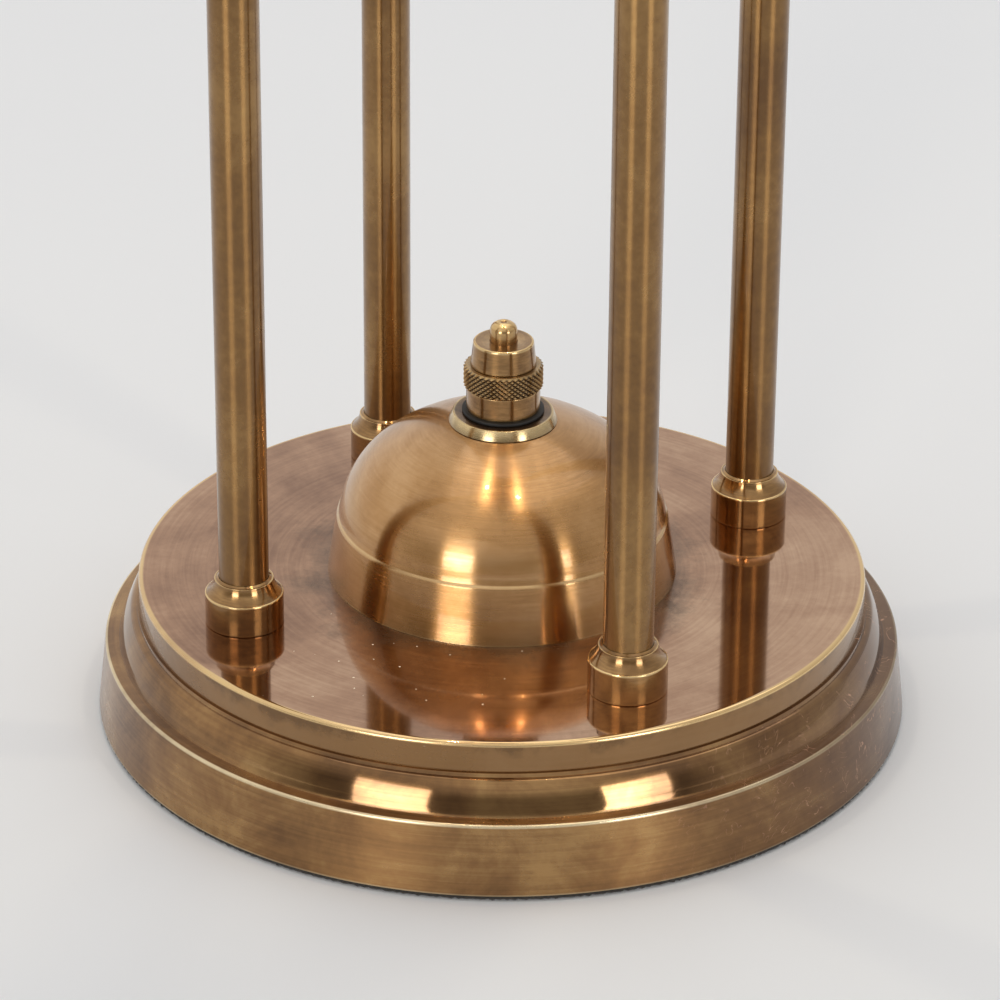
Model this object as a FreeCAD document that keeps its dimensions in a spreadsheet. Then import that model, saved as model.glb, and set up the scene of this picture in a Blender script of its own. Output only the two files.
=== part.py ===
import FreeCAD, Part
import math
import os
import re
import Sketcher

# Pharmacy floor lamp on a weighted round foot, four brass columns, a telescopic stem and a swinging shade.
# Z is up, the floor is z = 0, the axis of the foot is the Z axis, the arm points along -Y. Millimetres.

DIMENSIONS = {
    # foot
    "felt_radius": 149, "felt_top": 2, "cover_plate_radius": 143.5, "cover_plate_top": 4,
    "foot_radius": 150, "wall_top_radius": 147.2, "wall_top": 27, "ledge_radius": 145.3, "ledge_height": 28.8,
    "ovolo_radius": 141.8, "ovolo_shoulder_radius": 137.8, "ovolo_shoulder_height": 39.8, "ovolo_flank_bend": 37.5,
    "ovolo_crown_bend": 3.4, "quirk_radius": 135.2, "quirk_height": 42.7, "skirt_lip_radius": 124,
    "edge_bend": 2, "tray_radius": 134.2, "tray_top": 54, "sheet": 1.5, "tray_opening": 36,
    "weight_radius": 136, "weight_top": 26, "weight_opening": 34, "boss_radius": 17, "pocket_radius": 10,
    "pocket_top": 24, "lead_channel_width": 8, "lead_channel_top": 12, "inlet_channel_top": 20,
    "inlet_notch_width": 22, "inlet_notch_start": 120,
    # cord inlet
    "inlet_height": 15, "gland_bore": 3.6, "gland_shank": 5, "gland_flange": 7.5, "gland_flange_back": 149.5,
    "gland_flange_front": 151.2, "gland_inner_end": 138, "gland_nut_radius": 8, "gland_nut_near": 141,
    "gland_nut_far": 146,
    # dome over the switch
    "dome_foot": 64.4, "dome_skirt_top": 61, "dome_crease_low": 75.6, "dome_crease_radius": 60.1,
    "dome_crease_high": 76.4, "dome_side_bend": 37, "dome_shoulder_radius": 43.56, "dome_shoulder_height": 102.96,
    "dome_crown_bend": 79.2, "dome_seat_radius": 11.9, "dome_seat": 115.1, "dome_sheet": 1.2, "lug_inner": 48,
    "lug_outer": 62.7, "lug_half_width": 6, "lug_top": 62, "lug_screw_circle": 53, "lug_screw_radius": 2,
    "lug_screw_head": 4, "lug_screw_bottom": 49.5, "lug_screw_top": 60,
    # foot switch
    "switch_body_radius": 13, "switch_body_bottom": 82, "switch_body_top": 106, "bush_radius": 5, "bush_top": 124,
    "bush_bore": 2.6, "bush_bore_bottom": 100, "locknut_radius": 9, "locknut_bottom": 108.5, "locknut_top": 113.9,
    "flange_foot": 19.9, "flange_top_radius": 18.3, "flange_top": 117.6, "seal_radius": 15, "seal_top": 118.8,
    "collar_radius": 13.5, "collar_top": 127.6, "collar_bore": 9, "collar_floor": 121.5, "knurl_radius": 14.6,
    "knurl_top": 136.3, "knurl_bevel": 1, "cap_radius": 12, "cap_top_radius": 11, "cap_top": 145.5, "cap_bevel": 0.8,
    "cap_spigot": 9.3, "cap_spigot_bottom": 129, "cap_cavity": 8.2, "cap_ceiling": 143, "cap_bore": 5,
    "button_radius": 4.95, "button_shoulder": 149.6, "button_top": 153, "button_bend": 5.6, "button_dimple": 1.2,
    "button_flange": 7.6, "button_flange_top": 142.7, "button_flange_bottom": 140.5, "button_stem": 2.5,
    "button_stem_bottom": 114, "spring_radius": 4.6, "spring_wire": 0.45, "spring_turns": 6, "lead_radius": 2.5,
    "lead_offset": 6, "lead_height": 8, "lead_bend": 6, "lead_top": 1023, "lead_end": 60,
    # columns
    "column_circle": 103, "column_turn": 25.6, "column_radius": 9, "column_wall": 1, "collar_foot": 14.2,
    "collar_edge": 12, "collar_bevel": 0.6, "collar_shoulder": 12.2, "collar_neck": 13.6, "collar_lip_radius": 11.3,
    "collar_lip": 17.3, "collar_groove": 18.4, "collar_bore_gap": 0.15, "collar_base": 3, "pipe_radius": 5,
    "pipe_bore": 3.5, "pipe_bottom": 15, "pipe_top": 1015, "pipe_gap": 0.3, "pipe_washer_radius": 9,
    "pipe_washer": 1.5, "pipe_nut_flats": 14, "pipe_nut_length": 6, "grub_height": 6, "grub_radius": 1.5,
    # canopy
    "canopy_height": 1000, "canopy_plate_radius": 124.4, "canopy_plate": 6, "canopy_radius": 126,
    "canopy_band_top": 1012, "canopy_step_radius": 121, "canopy_ovolo_bend": 22, "canopy_crown_radius": 105,
    "canopy_top": 1032, "canopy_sheet": 1.2,
    # guide sleeve and clamp
    "sleeve_radius": 15, "sleeve_bore": 13, "sleeve_bottom": 672, "sleeve_top": 1060, "sleeve_collar_radius": 21,
    "sleeve_collar_height": 12, "neck_collar_top": 1041, "neck_bush_bottom": 1008, "neck_bush_bore": 8.06,
    "finial_bottom": 648, "finial_waist": 9, "finial_ball": 10, "plug_top": 690,
    "clamp_radius": 19, "clamp_bottom": 1046, "clamp_ceiling": 1060.5, "clamp_top": 1070, "clamp_bevel": 1.6,
    "clamp_bore": 8.5, "clamp_gap": 0.3,
    # stem
    "stem_radius": 8, "stem_wall": 1.2, "stem_bottom": 742, "stem_top": 1206, "stem_bush_radius": 12.95,
    "stem_bush_bottom": 732, "stem_bush_top": 762, "post_plug_bottom": 1186, "post_shoulder": 10.5,
    "post_shoulder_top": 1213, "post_journal": 5, "post_top": 1229,
    # arm
    "arm_height": 1242, "arm_radius": 6, "arm_wall": 1, "arm_back": 42, "arm_front": 185, "block_radius": 12,
    "block_bottom": 1213.3, "block_bore": 5.05, "block_ceiling": 1230, "barrel_radius": 10.5, "barrel_half": 18,
    "screw_height": 1221, "screw_radius": 2, "screw_start": 5.15, "screw_head_start": 13, "screw_head_end": 21,
    "screw_head_radius": 6, "knob_neck": 5.5, "knob_tip": 1, "knob_radius": 9.5, "spigot_plug": 165, "spigot_shoulder": 189,
    "spigot_shoulder_radius": 8, "journal_radius": 4, "journal_end": 213, "journal_nut_radius": 7,
    "journal_nut_start": 205.6, "journal_nut_end": 210.5,
    # shade
    "shade_start": 205, "shade_end": 415, "shade_radius": 48, "shade_sheet": 1, "shade_drop": 16, "shade_skirt": 22,
    "rim_radius": 1.6, "end_plate": 1.5, "hub_radius": 11.5, "hub_start": 189.3, "hub_bore": 4.05,
    "vent_first": 222, "vent_pitch": 11, "vent_width": 4, "vent_half_length": 17, "vent_count": 6,
    "lampholder_drop": 22, "lampholder_radius": 14, "lampholder_end": 238, "lampholder_bore": 7.1,
    "lampholder_floor": 211, "bulb_cap_radius": 6.8, "bulb_cap_start": 214, "bulb_cap_end": 240,
    "bulb_radius": 12.5, "bulb_shoulder": 256, "bulb_end": 330, "bulb_tip": 1.5, "shade_knob_radius": 8, "shade_knob_length": 20,
}

document = FreeCAD.newDocument("pharmacy_floor_lamp")
sheet = document.addObject("Spreadsheet::Sheet", "Dimensions")
for row, (alias, value) in enumerate(DIMENSIONS.items(), start=1):
    sheet.set(f"A{row}", str(value))
    sheet.setAlias(f"A{row}", alias)
document.recompute()

nodes = []


def formula(text):
    """Expression text in which every dimension name points at the spreadsheet."""
    return re.sub(r"[a-z][a-z_]+", lambda m: f"Dimensions.{m[0]}" if m[0] in DIMENSIONS else m[0], text)


def size(text):
    """Present value of an expression, for the starting position of a sketch point."""
    return float(sheet.evalExpression(text))


def origin_feature(body, role):
    return next(feature for feature in body.Origin.OriginFeatures if feature.Role == role)


def new_body(name):
    body = document.addObject("PartDesign::Body", name)
    body.Label = name
    body.AllowCompound = True
    nodes.append(body)
    return body


def new_sketch(body, name, plane, offset="0"):
    sketch = body.newObject("Sketcher::SketchObject", name)
    sketch.AttachmentSupport = [(origin_feature(body, plane), "")]
    sketch.MapMode = "FlatFace"
    sketch.setExpression("AttachmentOffset.Base.z", formula(f"({offset}) * 1mm"))
    return sketch


def pin_point(sketch, edge, end, across, along):
    """Ties one end of an edge to two expressions; a zero keeps it on the sketch axis."""
    for kind, text, axis in (("DistanceX", across, -2), ("DistanceY", along, -1)):
        if text == "0":
            sketch.addConstraint(Sketcher.Constraint("PointOnObject", edge, end, axis))
            continue
        index = sketch.addConstraint(Sketcher.Constraint(kind, -1, 1, edge, end, size(text)))
        sketch.setExpression(f"Constraints[{index}]", formula(text))


def bend_edge(start, finish, radius):
    """Arc from start to finish that bulges to the right of the direction of travel, or left if negative."""
    chord = finish - start
    right = FreeCAD.Vector(chord.y, -chord.x, 0).normalize()
    half = chord.Length / 2
    centre_depth = math.sqrt(radius * radius - half * half)
    side = 1 if radius > 0 else -1
    centre = (start + finish) / 2 - right * side * centre_depth
    middle = centre + right * side * abs(radius)
    return Part.Arc(start, middle, finish)


def draw_chain(sketch, points, closed=True):
    """Joins points by lines, or by arcs where a point carries the bend radius of the edge that leaves it."""
    count = len(points)
    spots = [FreeCAD.Vector(size(point[0]), size(point[1]), 0) for point in points]
    edges = []
    ends = []
    for number in range(count if closed else count - 1):
        start, finish = spots[number], spots[(number + 1) % count]
        bend = points[number][2] if len(points[number]) > 2 else None
        if bend is None:
            edges.append(sketch.addGeometry(Part.LineSegment(start, finish), False))
            ends.append((1, 2))
            continue
        arc = bend_edge(start, finish, size(bend))
        edge = sketch.addGeometry(arc, False)
        edges.append(edge)
        flipped = sketch.getPoint(edge, 1).distanceToPoint(start) > 1e-6
        ends.append((2, 1) if flipped else (1, 2))
    for number in range(len(edges) if closed else len(edges) - 1):
        following = (number + 1) % len(edges)
        sketch.addConstraint(
            Sketcher.Constraint("Coincident", edges[number], ends[number][1], edges[following], ends[following][0])
        )
    for number, edge in enumerate(edges):
        pin_point(sketch, edge, ends[number][0], points[number][0], points[number][1])
        if len(points[number]) > 2:
            bend = points[number][2].lstrip("-")
            index = sketch.addConstraint(Sketcher.Constraint("Radius", edge, size(bend)))
            sketch.setExpression(f"Constraints[{index}]", formula(bend))
    if not closed:
        pin_point(sketch, edges[-1], ends[-1][1], points[-1][0], points[-1][1])


def draw_circle(sketch, across, along, radius):
    spot = FreeCAD.Vector(size(across), size(along), 0)
    circle = sketch.addGeometry(Part.Circle(spot, FreeCAD.Vector(0, 0, 1), size(radius)), False)
    pin_point(sketch, circle, 3, across, along)
    index = sketch.addConstraint(Sketcher.Constraint("Radius", circle, size(radius)))
    sketch.setExpression(f"Constraints[{index}]", formula(radius))


def draw(sketch, loops):
    """Each loop is a list of points, or a tuple (across, along, radius) for a circle."""
    for loop in loops:
        if isinstance(loop, tuple):
            draw_circle(sketch, *loop)
        else:
            draw_chain(sketch, loop)


def box_loop(low_x, low_y, high_x, high_y):
    return [(low_x, low_y), (high_x, low_y), (high_x, high_y), (low_x, high_y)]


def hexagon(centre, flats):
    """Six corners of a nut, two flats square to the sketch's first axis, on that axis at a distance."""
    corner = f"({flats}) / 2 / cos(30)"
    return [
        (f"{centre} + {corner} * cos({turn})", f"{corner} * sin({turn})") for turn in (30, 90, 150, 210, 270, 330)
    ]


def turn_about(body, outline, axis="V_Axis", plane="XZ_Plane"):
    """Adds a full turn of the outline about the sketch's own axis."""
    sketch = new_sketch(body, f"{body.Name}_outline", plane)
    draw_chain(sketch, outline)
    turned = body.newObject("PartDesign::Revolution", f"{body.Name}_turned")
    turned.Profile = sketch
    turned.ReferenceAxis = (sketch, [axis])
    turned.Angle = 360
    return turned


def extrude(body, kind, loops, low, high, plane="XY_Plane"):
    """Pads or pockets the loops between two distances along the plane's normal."""
    number = len(body.Group)
    sketch = new_sketch(body, f"{body.Name}_loops_{number}", plane, low)
    draw(sketch, loops)
    feature = body.newObject(f"PartDesign::{kind}", f"{body.Name}_{kind.lower()}_{number}")
    feature.Profile = sketch
    feature.setExpression("Length", formula(f"(({high}) - ({low})) * 1mm"))
    if kind == "Pocket":
        feature.Reversed = True
    return feature


def pattern(body, feature, count):
    """Repeats a feature about the body's Z axis."""
    ring = body.newObject("PartDesign::PolarPattern", f"{feature.Name}_ring")
    ring.Originals = [feature]
    ring.Axis = (origin_feature(body, "Z_Axis"), [""])
    ring.Angle = 360
    ring.Occurrences = count
    body.Tip = ring
    return ring


def place(body, x="0", y="0", z="0", turn="0", axis=(0, 0, 1)):
    """Puts a body where the expressions say, turned by an angle about an axis through its origin."""
    body.Placement = FreeCAD.Placement(FreeCAD.Vector(), FreeCAD.Rotation(FreeCAD.Vector(*axis), 1))
    for letter, text in (("x", x), ("y", y), ("z", z)):
        body.setExpression(f"Placement.Base.{letter}", formula(f"({text}) * 1mm"))
    body.setExpression("Placement.Rotation.Angle", formula(f"({turn}) * 1deg"))


def polar(radius, turn):
    """Both coordinates of a point at a radius and an angle."""
    return f"({radius}) * cos({turn})", f"({radius}) * sin({turn})"


def radial_slot(turn, near, far, half):
    """Four corners of a slot that runs outwards along an angle."""
    corners = ((near, f"-({half})"), (far, f"-({half})"), (far, half), (near, half))
    return [
        (f"({out}) * cos({turn}) - ({side}) * sin({turn})", f"({out}) * sin({turn}) + ({side}) * cos({turn})")
        for out, side in corners
    ]


def turned_part(name, outline):
    body = new_body(name)
    turn_about(body, outline)
    return body


def turned_along_y(name, outline, height):
    """A turned part lying along -Y: radii first, then distances in front of the stem."""
    body = turned_part(name, outline)
    place(body, z=height, turn="90", axis=(1, 0, 0))
    return body


def ring(inner, outer, low, high):
    """Outline of a plain ring or bush."""
    return [(inner, low), (outer, low), (outer, high), (inner, high)]


# ---------------------------------------------------------------- foot


def felt_pad():
    """Stamped felt disc glued under the whole foot."""
    body = new_body("felt_pad")
    extrude(body, "Pad", [("0", "0", "felt_radius")], "0", "felt_top")


def cover_plate():
    """Steel disc that closes the underside."""
    body = new_body("cover_plate")
    extrude(body, "Pad", [("0", "0", "cover_plate_radius")], "felt_top", "cover_plate_top")


def iron_weight():
    """Cast-iron disc with four bosses that carry the top tray, a well in the middle and two cable channels."""
    body = new_body("iron_weight")
    column = polar("column_circle", "column_turn")
    extrude(body, "Pad", [("0", "0", "weight_radius")], "cover_plate_top", "weight_top")
    boss = extrude(body, "Pad", [(*column, "boss_radius")], "weight_top - 1", "tray_top - sheet")
    pattern(body, boss, 4)
    extrude(body, "Pocket", [("0", "0", "weight_opening")], "cover_plate_top", "weight_top")
    pocket = extrude(body, "Pocket", [(*column, "pocket_radius")], "cover_plate_top", "pocket_top")
    pattern(body, pocket, 4)
    bore = extrude(body, "Pocket", [(*column, "pipe_radius + pipe_gap")], "pocket_top", "tray_top - sheet")
    pattern(body, bore, 4)
    lead = radial_slot("column_turn + 90", "weight_opening - 3", "column_circle", "lead_channel_width / 2")
    extrude(body, "Pocket", [lead], "cover_plate_top", "lead_channel_top")
    half_channel = "lead_channel_width / 2"
    inlet = box_loop(f"-{half_channel}", "weight_opening - 3", half_channel, "weight_radius + 2")
    extrude(body, "Pocket", [inlet], "cover_plate_top", "inlet_channel_top")
    notch = box_loop("-inlet_notch_width / 2", "inlet_notch_start", "inlet_notch_width / 2", "weight_radius + 2")
    extrude(body, "Pocket", [notch], "cover_plate_top", "weight_top")


def base_skirt():
    """Spun brass lower tier: leaning wall, narrow ledge, ovolo moulding and an inward flange for the tray."""
    body = new_body("base_skirt")
    turn_about(
        body,
        [
            ("foot_radius - sheet", "felt_top"),
            ("foot_radius", "felt_top"),
            ("wall_top_radius", "wall_top", "edge_bend"),
            ("ledge_radius", "ledge_height"),
            ("ovolo_radius", "ledge_height", "ovolo_flank_bend"),
            ("ovolo_shoulder_radius", "ovolo_shoulder_height", "ovolo_crown_bend"),
            ("quirk_radius", "quirk_height"),
            ("skirt_lip_radius", "quirk_height"),
            ("skirt_lip_radius", "quirk_height - sheet"),
            ("quirk_radius", "quirk_height - sheet"),
            ("ovolo_shoulder_radius - sheet", "ovolo_shoulder_height - sheet / 3"),
            ("ovolo_radius - sheet", "ledge_height - sheet"),
            ("ledge_radius - sheet / 2", "ledge_height - sheet"),
            ("wall_top_radius - sheet", "wall_top - sheet / 2"),
        ],
    )
    inlet = [("0", "inlet_height", "gland_shank + 0.2")]
    extrude(body, "Pocket", inlet, "-foot_radius - 2", "-weight_radius", "XZ_Plane")


def top_tray():
    """Spun brass upper tier: upright band, rounded edge and the flat plate the columns stand on."""
    body = new_body("top_tray")
    turn_about(
        body,
        [
            ("tray_opening", "tray_top - sheet"),
            ("tray_radius - edge_bend", "tray_top - sheet"),
            ("tray_radius - sheet", "tray_top - edge_bend"),
            ("tray_radius - sheet", "quirk_height"),
            ("tray_radius", "quirk_height"),
            ("tray_radius", "tray_top - edge_bend", "edge_bend"),
            ("tray_radius - edge_bend", "tray_top"),
            ("tray_opening", "tray_top"),
        ],
    )
    column = polar("column_circle", "column_turn")
    bore = extrude(body, "Pocket", [(*column, "pipe_radius + pipe_gap")], "tray_top - sheet", "tray_top")
    pattern(body, bore, 4)
    screw = [("lug_screw_circle", "0", "lug_screw_radius + 0.2")]
    pattern(body, extrude(body, "Pocket", screw, "tray_top - sheet", "tray_top"), 3)


def cord_gland():
    """Turned bush through the back of the wall, bored for the supply cord."""
    body = turned_part(
        "cord_gland",
        [
            ("gland_bore", "gland_inner_end"),
            ("gland_shank", "gland_inner_end"),
            ("gland_shank", "gland_flange_back"),
            ("gland_flange", "gland_flange_back"),
            ("gland_flange", "gland_flange_front - 0.6"),
            ("gland_flange - 0.6", "gland_flange_front"),
            ("gland_bore", "gland_flange_front"),
        ],
    )
    place(body, z="inlet_height", turn="-90", axis=(1, 0, 0))


def gland_nut():
    """Ring nut that holds the gland from inside."""
    body = turned_part("gland_nut", ring("gland_shank + 0.1", "gland_nut_radius", "gland_nut_near", "gland_nut_far"))
    place(body, z="inlet_height", turn="-90", axis=(1, 0, 0))


# ---------------------------------------------------------------- dome and foot switch


def switch_dome():
    """Spun brass cover: leaning skirt, a crease, a flattened dome, and three tapped lugs soldered inside."""
    body = turned_part(
        "switch_dome",
        [
            ("dome_foot - dome_sheet", "tray_top"),
            ("dome_foot", "tray_top"),
            ("dome_skirt_top", "dome_crease_low"),
            ("dome_crease_radius", "dome_crease_high", "dome_side_bend"),
            ("dome_shoulder_radius", "dome_shoulder_height", "dome_crown_bend"),
            ("dome_seat_radius", "dome_seat"),
            ("bush_radius + pipe_gap", "dome_seat"),
            ("bush_radius + pipe_gap", "dome_seat - dome_sheet"),
            ("dome_seat_radius", "dome_seat - dome_sheet", "-(dome_crown_bend - dome_sheet)"),
            ("dome_shoulder_radius - 0.55 * dome_sheet", "dome_shoulder_height - 0.84 * dome_sheet",
             "-(dome_side_bend - dome_sheet)"),
            ("dome_crease_radius - dome_sheet", "dome_crease_high"),
            ("dome_skirt_top - dome_sheet", "dome_crease_low"),
        ],
    )
    block = box_loop("lug_inner", "-lug_half_width", "lug_outer", "lug_half_width")
    hole = ("lug_screw_circle", "0", "lug_screw_radius + 0.1")
    pattern(body, extrude(body, "Pad", [block, hole], "tray_top", "lug_top"), 3)


def dome_screws():
    """Three screws from under the tray into the lugs."""
    body = new_body("dome_screws")
    head = [("lug_screw_circle", "0", "lug_screw_head")]
    shank = [("lug_screw_circle", "0", "lug_screw_radius")]
    pattern(body, extrude(body, "Pad", head, "lug_screw_bottom", "tray_top - sheet"), 3)
    pattern(body, extrude(body, "Pad", shank, "tray_top - sheet", "lug_screw_top"), 3)


def switch_body():
    """Moulded switch under the dome, with the threaded bush that rises through it."""
    turned_part(
        "switch_body",
        [
            ("0", "switch_body_bottom"),
            ("switch_body_radius", "switch_body_bottom"),
            ("switch_body_radius", "switch_body_top"),
            ("bush_radius", "switch_body_top"),
            ("bush_radius", "bush_top"),
            ("bush_bore", "bush_top"),
            ("bush_bore", "bush_bore_bottom"),
            ("0", "bush_bore_bottom"),
        ],
    )


def switch_locknut():
    """Ring nut under the dome."""
    turned_part("switch_locknut", ring("bush_radius + 0.1", "locknut_radius", "locknut_bottom", "locknut_top"))


def switch_flange():
    """Dished brass washer on top of the dome."""
    turned_part(
        "switch_flange",
        [
            ("bush_radius + pipe_gap", "dome_seat"),
            ("dome_seat_radius - 1", "dome_seat"),
            ("dome_seat_radius + 0.6", "dome_seat + 0.25"),
            ("flange_foot", "dome_seat - 1.25"),
            ("flange_top_radius", "flange_top"),
            ("bush_radius + pipe_gap", "flange_top"),
        ],
    )


def seal_ring():
    """Rubber ring between the washer and the switch barrel."""
    turned_part("seal_ring", ring("bush_radius + pipe_gap", "seal_radius", "flange_top", "seal_top"))


def switch_collar():
    """Lower barrel, screwed onto the bush."""
    turned_part(
        "switch_collar",
        [
            ("bush_radius + 0.1", "seal_top"),
            ("collar_radius", "seal_top"),
            ("collar_radius", "collar_top"),
            ("collar_bore", "collar_top"),
            ("collar_bore", "collar_floor"),
            ("bush_radius + 0.1", "collar_floor"),
        ],
    )


def knurled_ring():
    """Knurled ring that locks the cap to the barrel."""
    turned_part(
        "knurled_ring",
        [
            ("cap_spigot + 0.2", "collar_top"),
            ("knurl_radius - knurl_bevel", "collar_top"),
            ("knurl_radius", "collar_top + knurl_bevel"),
            ("knurl_radius", "knurl_top - knurl_bevel"),
            ("knurl_radius - knurl_bevel", "knurl_top"),
            ("cap_spigot + 0.2", "knurl_top"),
        ],
    )


def switch_cap():
    """Tapered cap with a spigot inside the ring and a bore for the button."""
    turned_part(
        "switch_cap",
        [
            ("cap_cavity", "cap_spigot_bottom"),
            ("cap_spigot", "cap_spigot_bottom"),
            ("cap_spigot", "knurl_top"),
            ("cap_radius", "knurl_top"),
            ("cap_top_radius", "cap_top - cap_bevel"),
            ("cap_top_radius - cap_bevel", "cap_top"),
            ("cap_bore", "cap_top"),
            ("cap_bore", "cap_ceiling"),
            ("cap_cavity", "cap_ceiling"),
        ],
    )


def push_button():
    """Foot button: domed head with a dimple, a flange that keeps it in the cap, and a stem down to the switch."""
    turned_part(
        "push_button",
        [
            ("0", "button_stem_bottom"),
            ("button_stem", "button_stem_bottom"),
            ("button_stem", "button_flange_bottom"),
            ("button_flange", "button_flange_bottom"),
            ("button_flange", "button_flange_top"),
            ("button_radius", "button_flange_top"),
            ("button_radius", "button_shoulder", "button_bend"),
            ("button_dimple", "button_top"),
            ("button_dimple / 2", "button_top - 0.4"),
            ("0", "button_top - 0.4"),
        ],
    )


def button_spring():
    """Coil spring between the bush and the button's flange."""
    body = document.addObject("Part::Feature", "button_spring")
    body.Label = "button_spring"
    wire = size("spring_wire")
    low = size("bush_top") + wire + 0.05
    high = size("button_flange_bottom") - wire - 0.05
    helix = Part.makeHelix((high - low) / size("spring_turns"), high - low, size("spring_radius"))
    start = FreeCAD.Vector(size("spring_radius"), 0, 0)
    section = Part.Wire(Part.Circle(start, FreeCAD.Vector(0, 1, 0), wire).toShape())
    body.Shape = Part.Wire(helix).makePipeShell([section], True, True)
    body.Placement = FreeCAD.Placement(FreeCAD.Vector(0, 0, low), FreeCAD.Rotation())
    nodes.append(body)


def riser_lead():
    """Lead from the switch down the well, along the channel, up one column and into the canopy."""
    bend = size("lead_bend")
    near, far = size("lead_offset"), size("column_circle")
    low, high = size("lead_height"), size("lead_top")
    corners = [(near, low), (far, low), (far, high)]
    stops = [(near, size("switch_body_bottom")), *corners, (size("lead_end"), high)]
    edges = []
    reached = FreeCAD.Vector(stops[0][0], 0, stops[0][1])
    for number, (across, up) in enumerate(corners, start=1):
        corner = FreeCAD.Vector(across, 0, up)
        before = (FreeCAD.Vector(stops[number - 1][0], 0, stops[number - 1][1]) - corner).normalize()
        after = (FreeCAD.Vector(stops[number + 1][0], 0, stops[number + 1][1]) - corner).normalize()
        start, finish = corner + before * bend, corner + after * bend
        middle = corner + (before + after) * (bend - bend * math.sqrt(0.5))
        edges.append(Part.LineSegment(reached, start).toShape())
        edges.append(Part.Arc(start, middle, finish).toShape())
        reached = finish
    edges.append(Part.LineSegment(reached, FreeCAD.Vector(stops[-1][0], 0, stops[-1][1])).toShape())
    begin = FreeCAD.Vector(stops[0][0], 0, stops[0][1])
    section = Part.Wire(Part.Circle(begin, FreeCAD.Vector(0, 0, -1), size("lead_radius")).toShape())
    body = document.addObject("Part::Feature", "riser_lead")
    body.Label = "riser_lead"
    body.Shape = Part.Wire(edges).makePipeShell([section], True, False)
    turn = FreeCAD.Rotation(FreeCAD.Vector(0, 0, 1), size("column_turn") + 90)
    body.Placement = FreeCAD.Placement(FreeCAD.Vector(), turn)
    nodes.append(body)


# ---------------------------------------------------------------- columns

COLUMNS = {"back_right": 0, "back_left": 90, "front_left": 180, "front_right": 270}


def stand_at_column(body, turn):
    """Moves a part from the foot's axis to one of the columns, its own X axis pointing outwards."""
    angle = f"column_turn + {turn}"
    across, along = polar("column_circle", angle)
    place(body, across, along, "0", angle)


def column_tube(place_name, turn):
    """Drawn brass tube between the foot collar and the top collar."""
    low = "tray_top + collar_base"
    high = "canopy_height - collar_base"
    body = turned_part(f"column_{place_name}", ring("column_radius - column_wall", "column_radius", low, high))
    stand_at_column(body, turn)


def collar_outline(level, up):
    """Turned collar: floor, drum with a bevelled edge, concave shoulder, lip and groove, seen from the tray."""
    bore = "column_radius + collar_bore_gap"
    profile = [
        ("pipe_radius + pipe_gap", "0"),
        ("collar_foot", "0"),
        ("collar_foot", "collar_edge - collar_bevel"),
        ("collar_foot - collar_bevel", "collar_edge"),
        ("collar_neck", "collar_shoulder"),
        ("collar_lip_radius", "collar_lip"),
        ("collar_lip_radius - 0.8", "collar_lip + 0.2"),
        (bore, "collar_groove"),
        (bore, "collar_base"),
        ("pipe_radius + pipe_gap", "collar_base"),
    ]
    sign = "+" if up else "-"
    return [(radius, f"{level} {sign} ({height})") for radius, height in profile]


def collar(kind, place_name, turn, level, up):
    """Collar that hides the end of a column, with a tapped hole on the side of the foot's axis."""
    body = turned_part(f"{kind}_collar_{place_name}", collar_outline(level, up))
    height = f"{level} {'+' if up else '-'} grub_height"
    tapped = [("0", height, "grub_radius + 0.1")]
    extrude(body, "Pocket", tapped, "-collar_foot - 1", "-column_radius", "YZ_Plane")
    stand_at_column(body, turn)


def grub_screws():
    """Eight grub screws that lock the collars to the columns."""
    body = new_body("grub_screws")
    for level in ("tray_top + grub_height", "canopy_height - grub_height"):
        shank = [("0", level, "grub_radius")]
        near = "column_circle - collar_foot + 0.4"
        far = "column_circle - column_radius - 0.3"
        pattern(body, extrude(body, "Pad", shank, near, far, "YZ_Plane"), 4)
    place(body, turn="column_turn")


def lamp_pipes():
    """Four threaded pipes that run through the columns and clamp foot, columns and canopy together."""
    body = new_body("lamp_pipes")
    walls = [("column_circle", "0", "pipe_radius"), ("column_circle", "0", "pipe_bore")]
    pattern(body, extrude(body, "Pad", walls, "pipe_bottom", "pipe_top"), 4)
    place(body, turn="column_turn")


def pipe_washers():
    """Steel washers under the weight and on the canopy plate."""
    body = new_body("pipe_washers")
    walls = [("column_circle", "0", "pipe_washer_radius"), ("column_circle", "0", "pipe_radius + 0.2")]
    pattern(body, extrude(body, "Pad", walls, "pocket_top - pipe_washer", "pocket_top"), 4)
    low = "canopy_height + canopy_plate"
    pattern(body, extrude(body, "Pad", walls, low, f"{low} + pipe_washer"), 4)
    place(body, turn="column_turn")


def pipe_nuts():
    """Hexagon nuts on both ends of the pipes."""
    body = new_body("pipe_nuts")
    walls = [hexagon("column_circle", "pipe_nut_flats"), ("column_circle", "0", "pipe_radius + 0.05")]
    high = "pocket_top - pipe_washer"
    pattern(body, extrude(body, "Pad", walls, f"{high} - pipe_nut_length", high), 4)
    low = "canopy_height + canopy_plate + pipe_washer"
    pattern(body, extrude(body, "Pad", walls, low, f"{low} + pipe_nut_length"), 4)
    place(body, turn="column_turn")


# ---------------------------------------------------------------- canopy, sleeve and clamp


def canopy_plate():
    """Thick brass disc that rests on the top collars and holds the guide sleeve."""
    body = turned_part(
        "canopy_plate",
        ring("sleeve_radius + 0.1", "canopy_plate_radius", "canopy_height", "canopy_height + canopy_plate"),
    )
    top = "canopy_height + canopy_plate"
    pipe = [("column_circle", "0", "pipe_radius + pipe_gap")]
    pattern(body, extrude(body, "Pocket", pipe, "canopy_height", top), 4)
    place(body, turn="column_turn")


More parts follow.
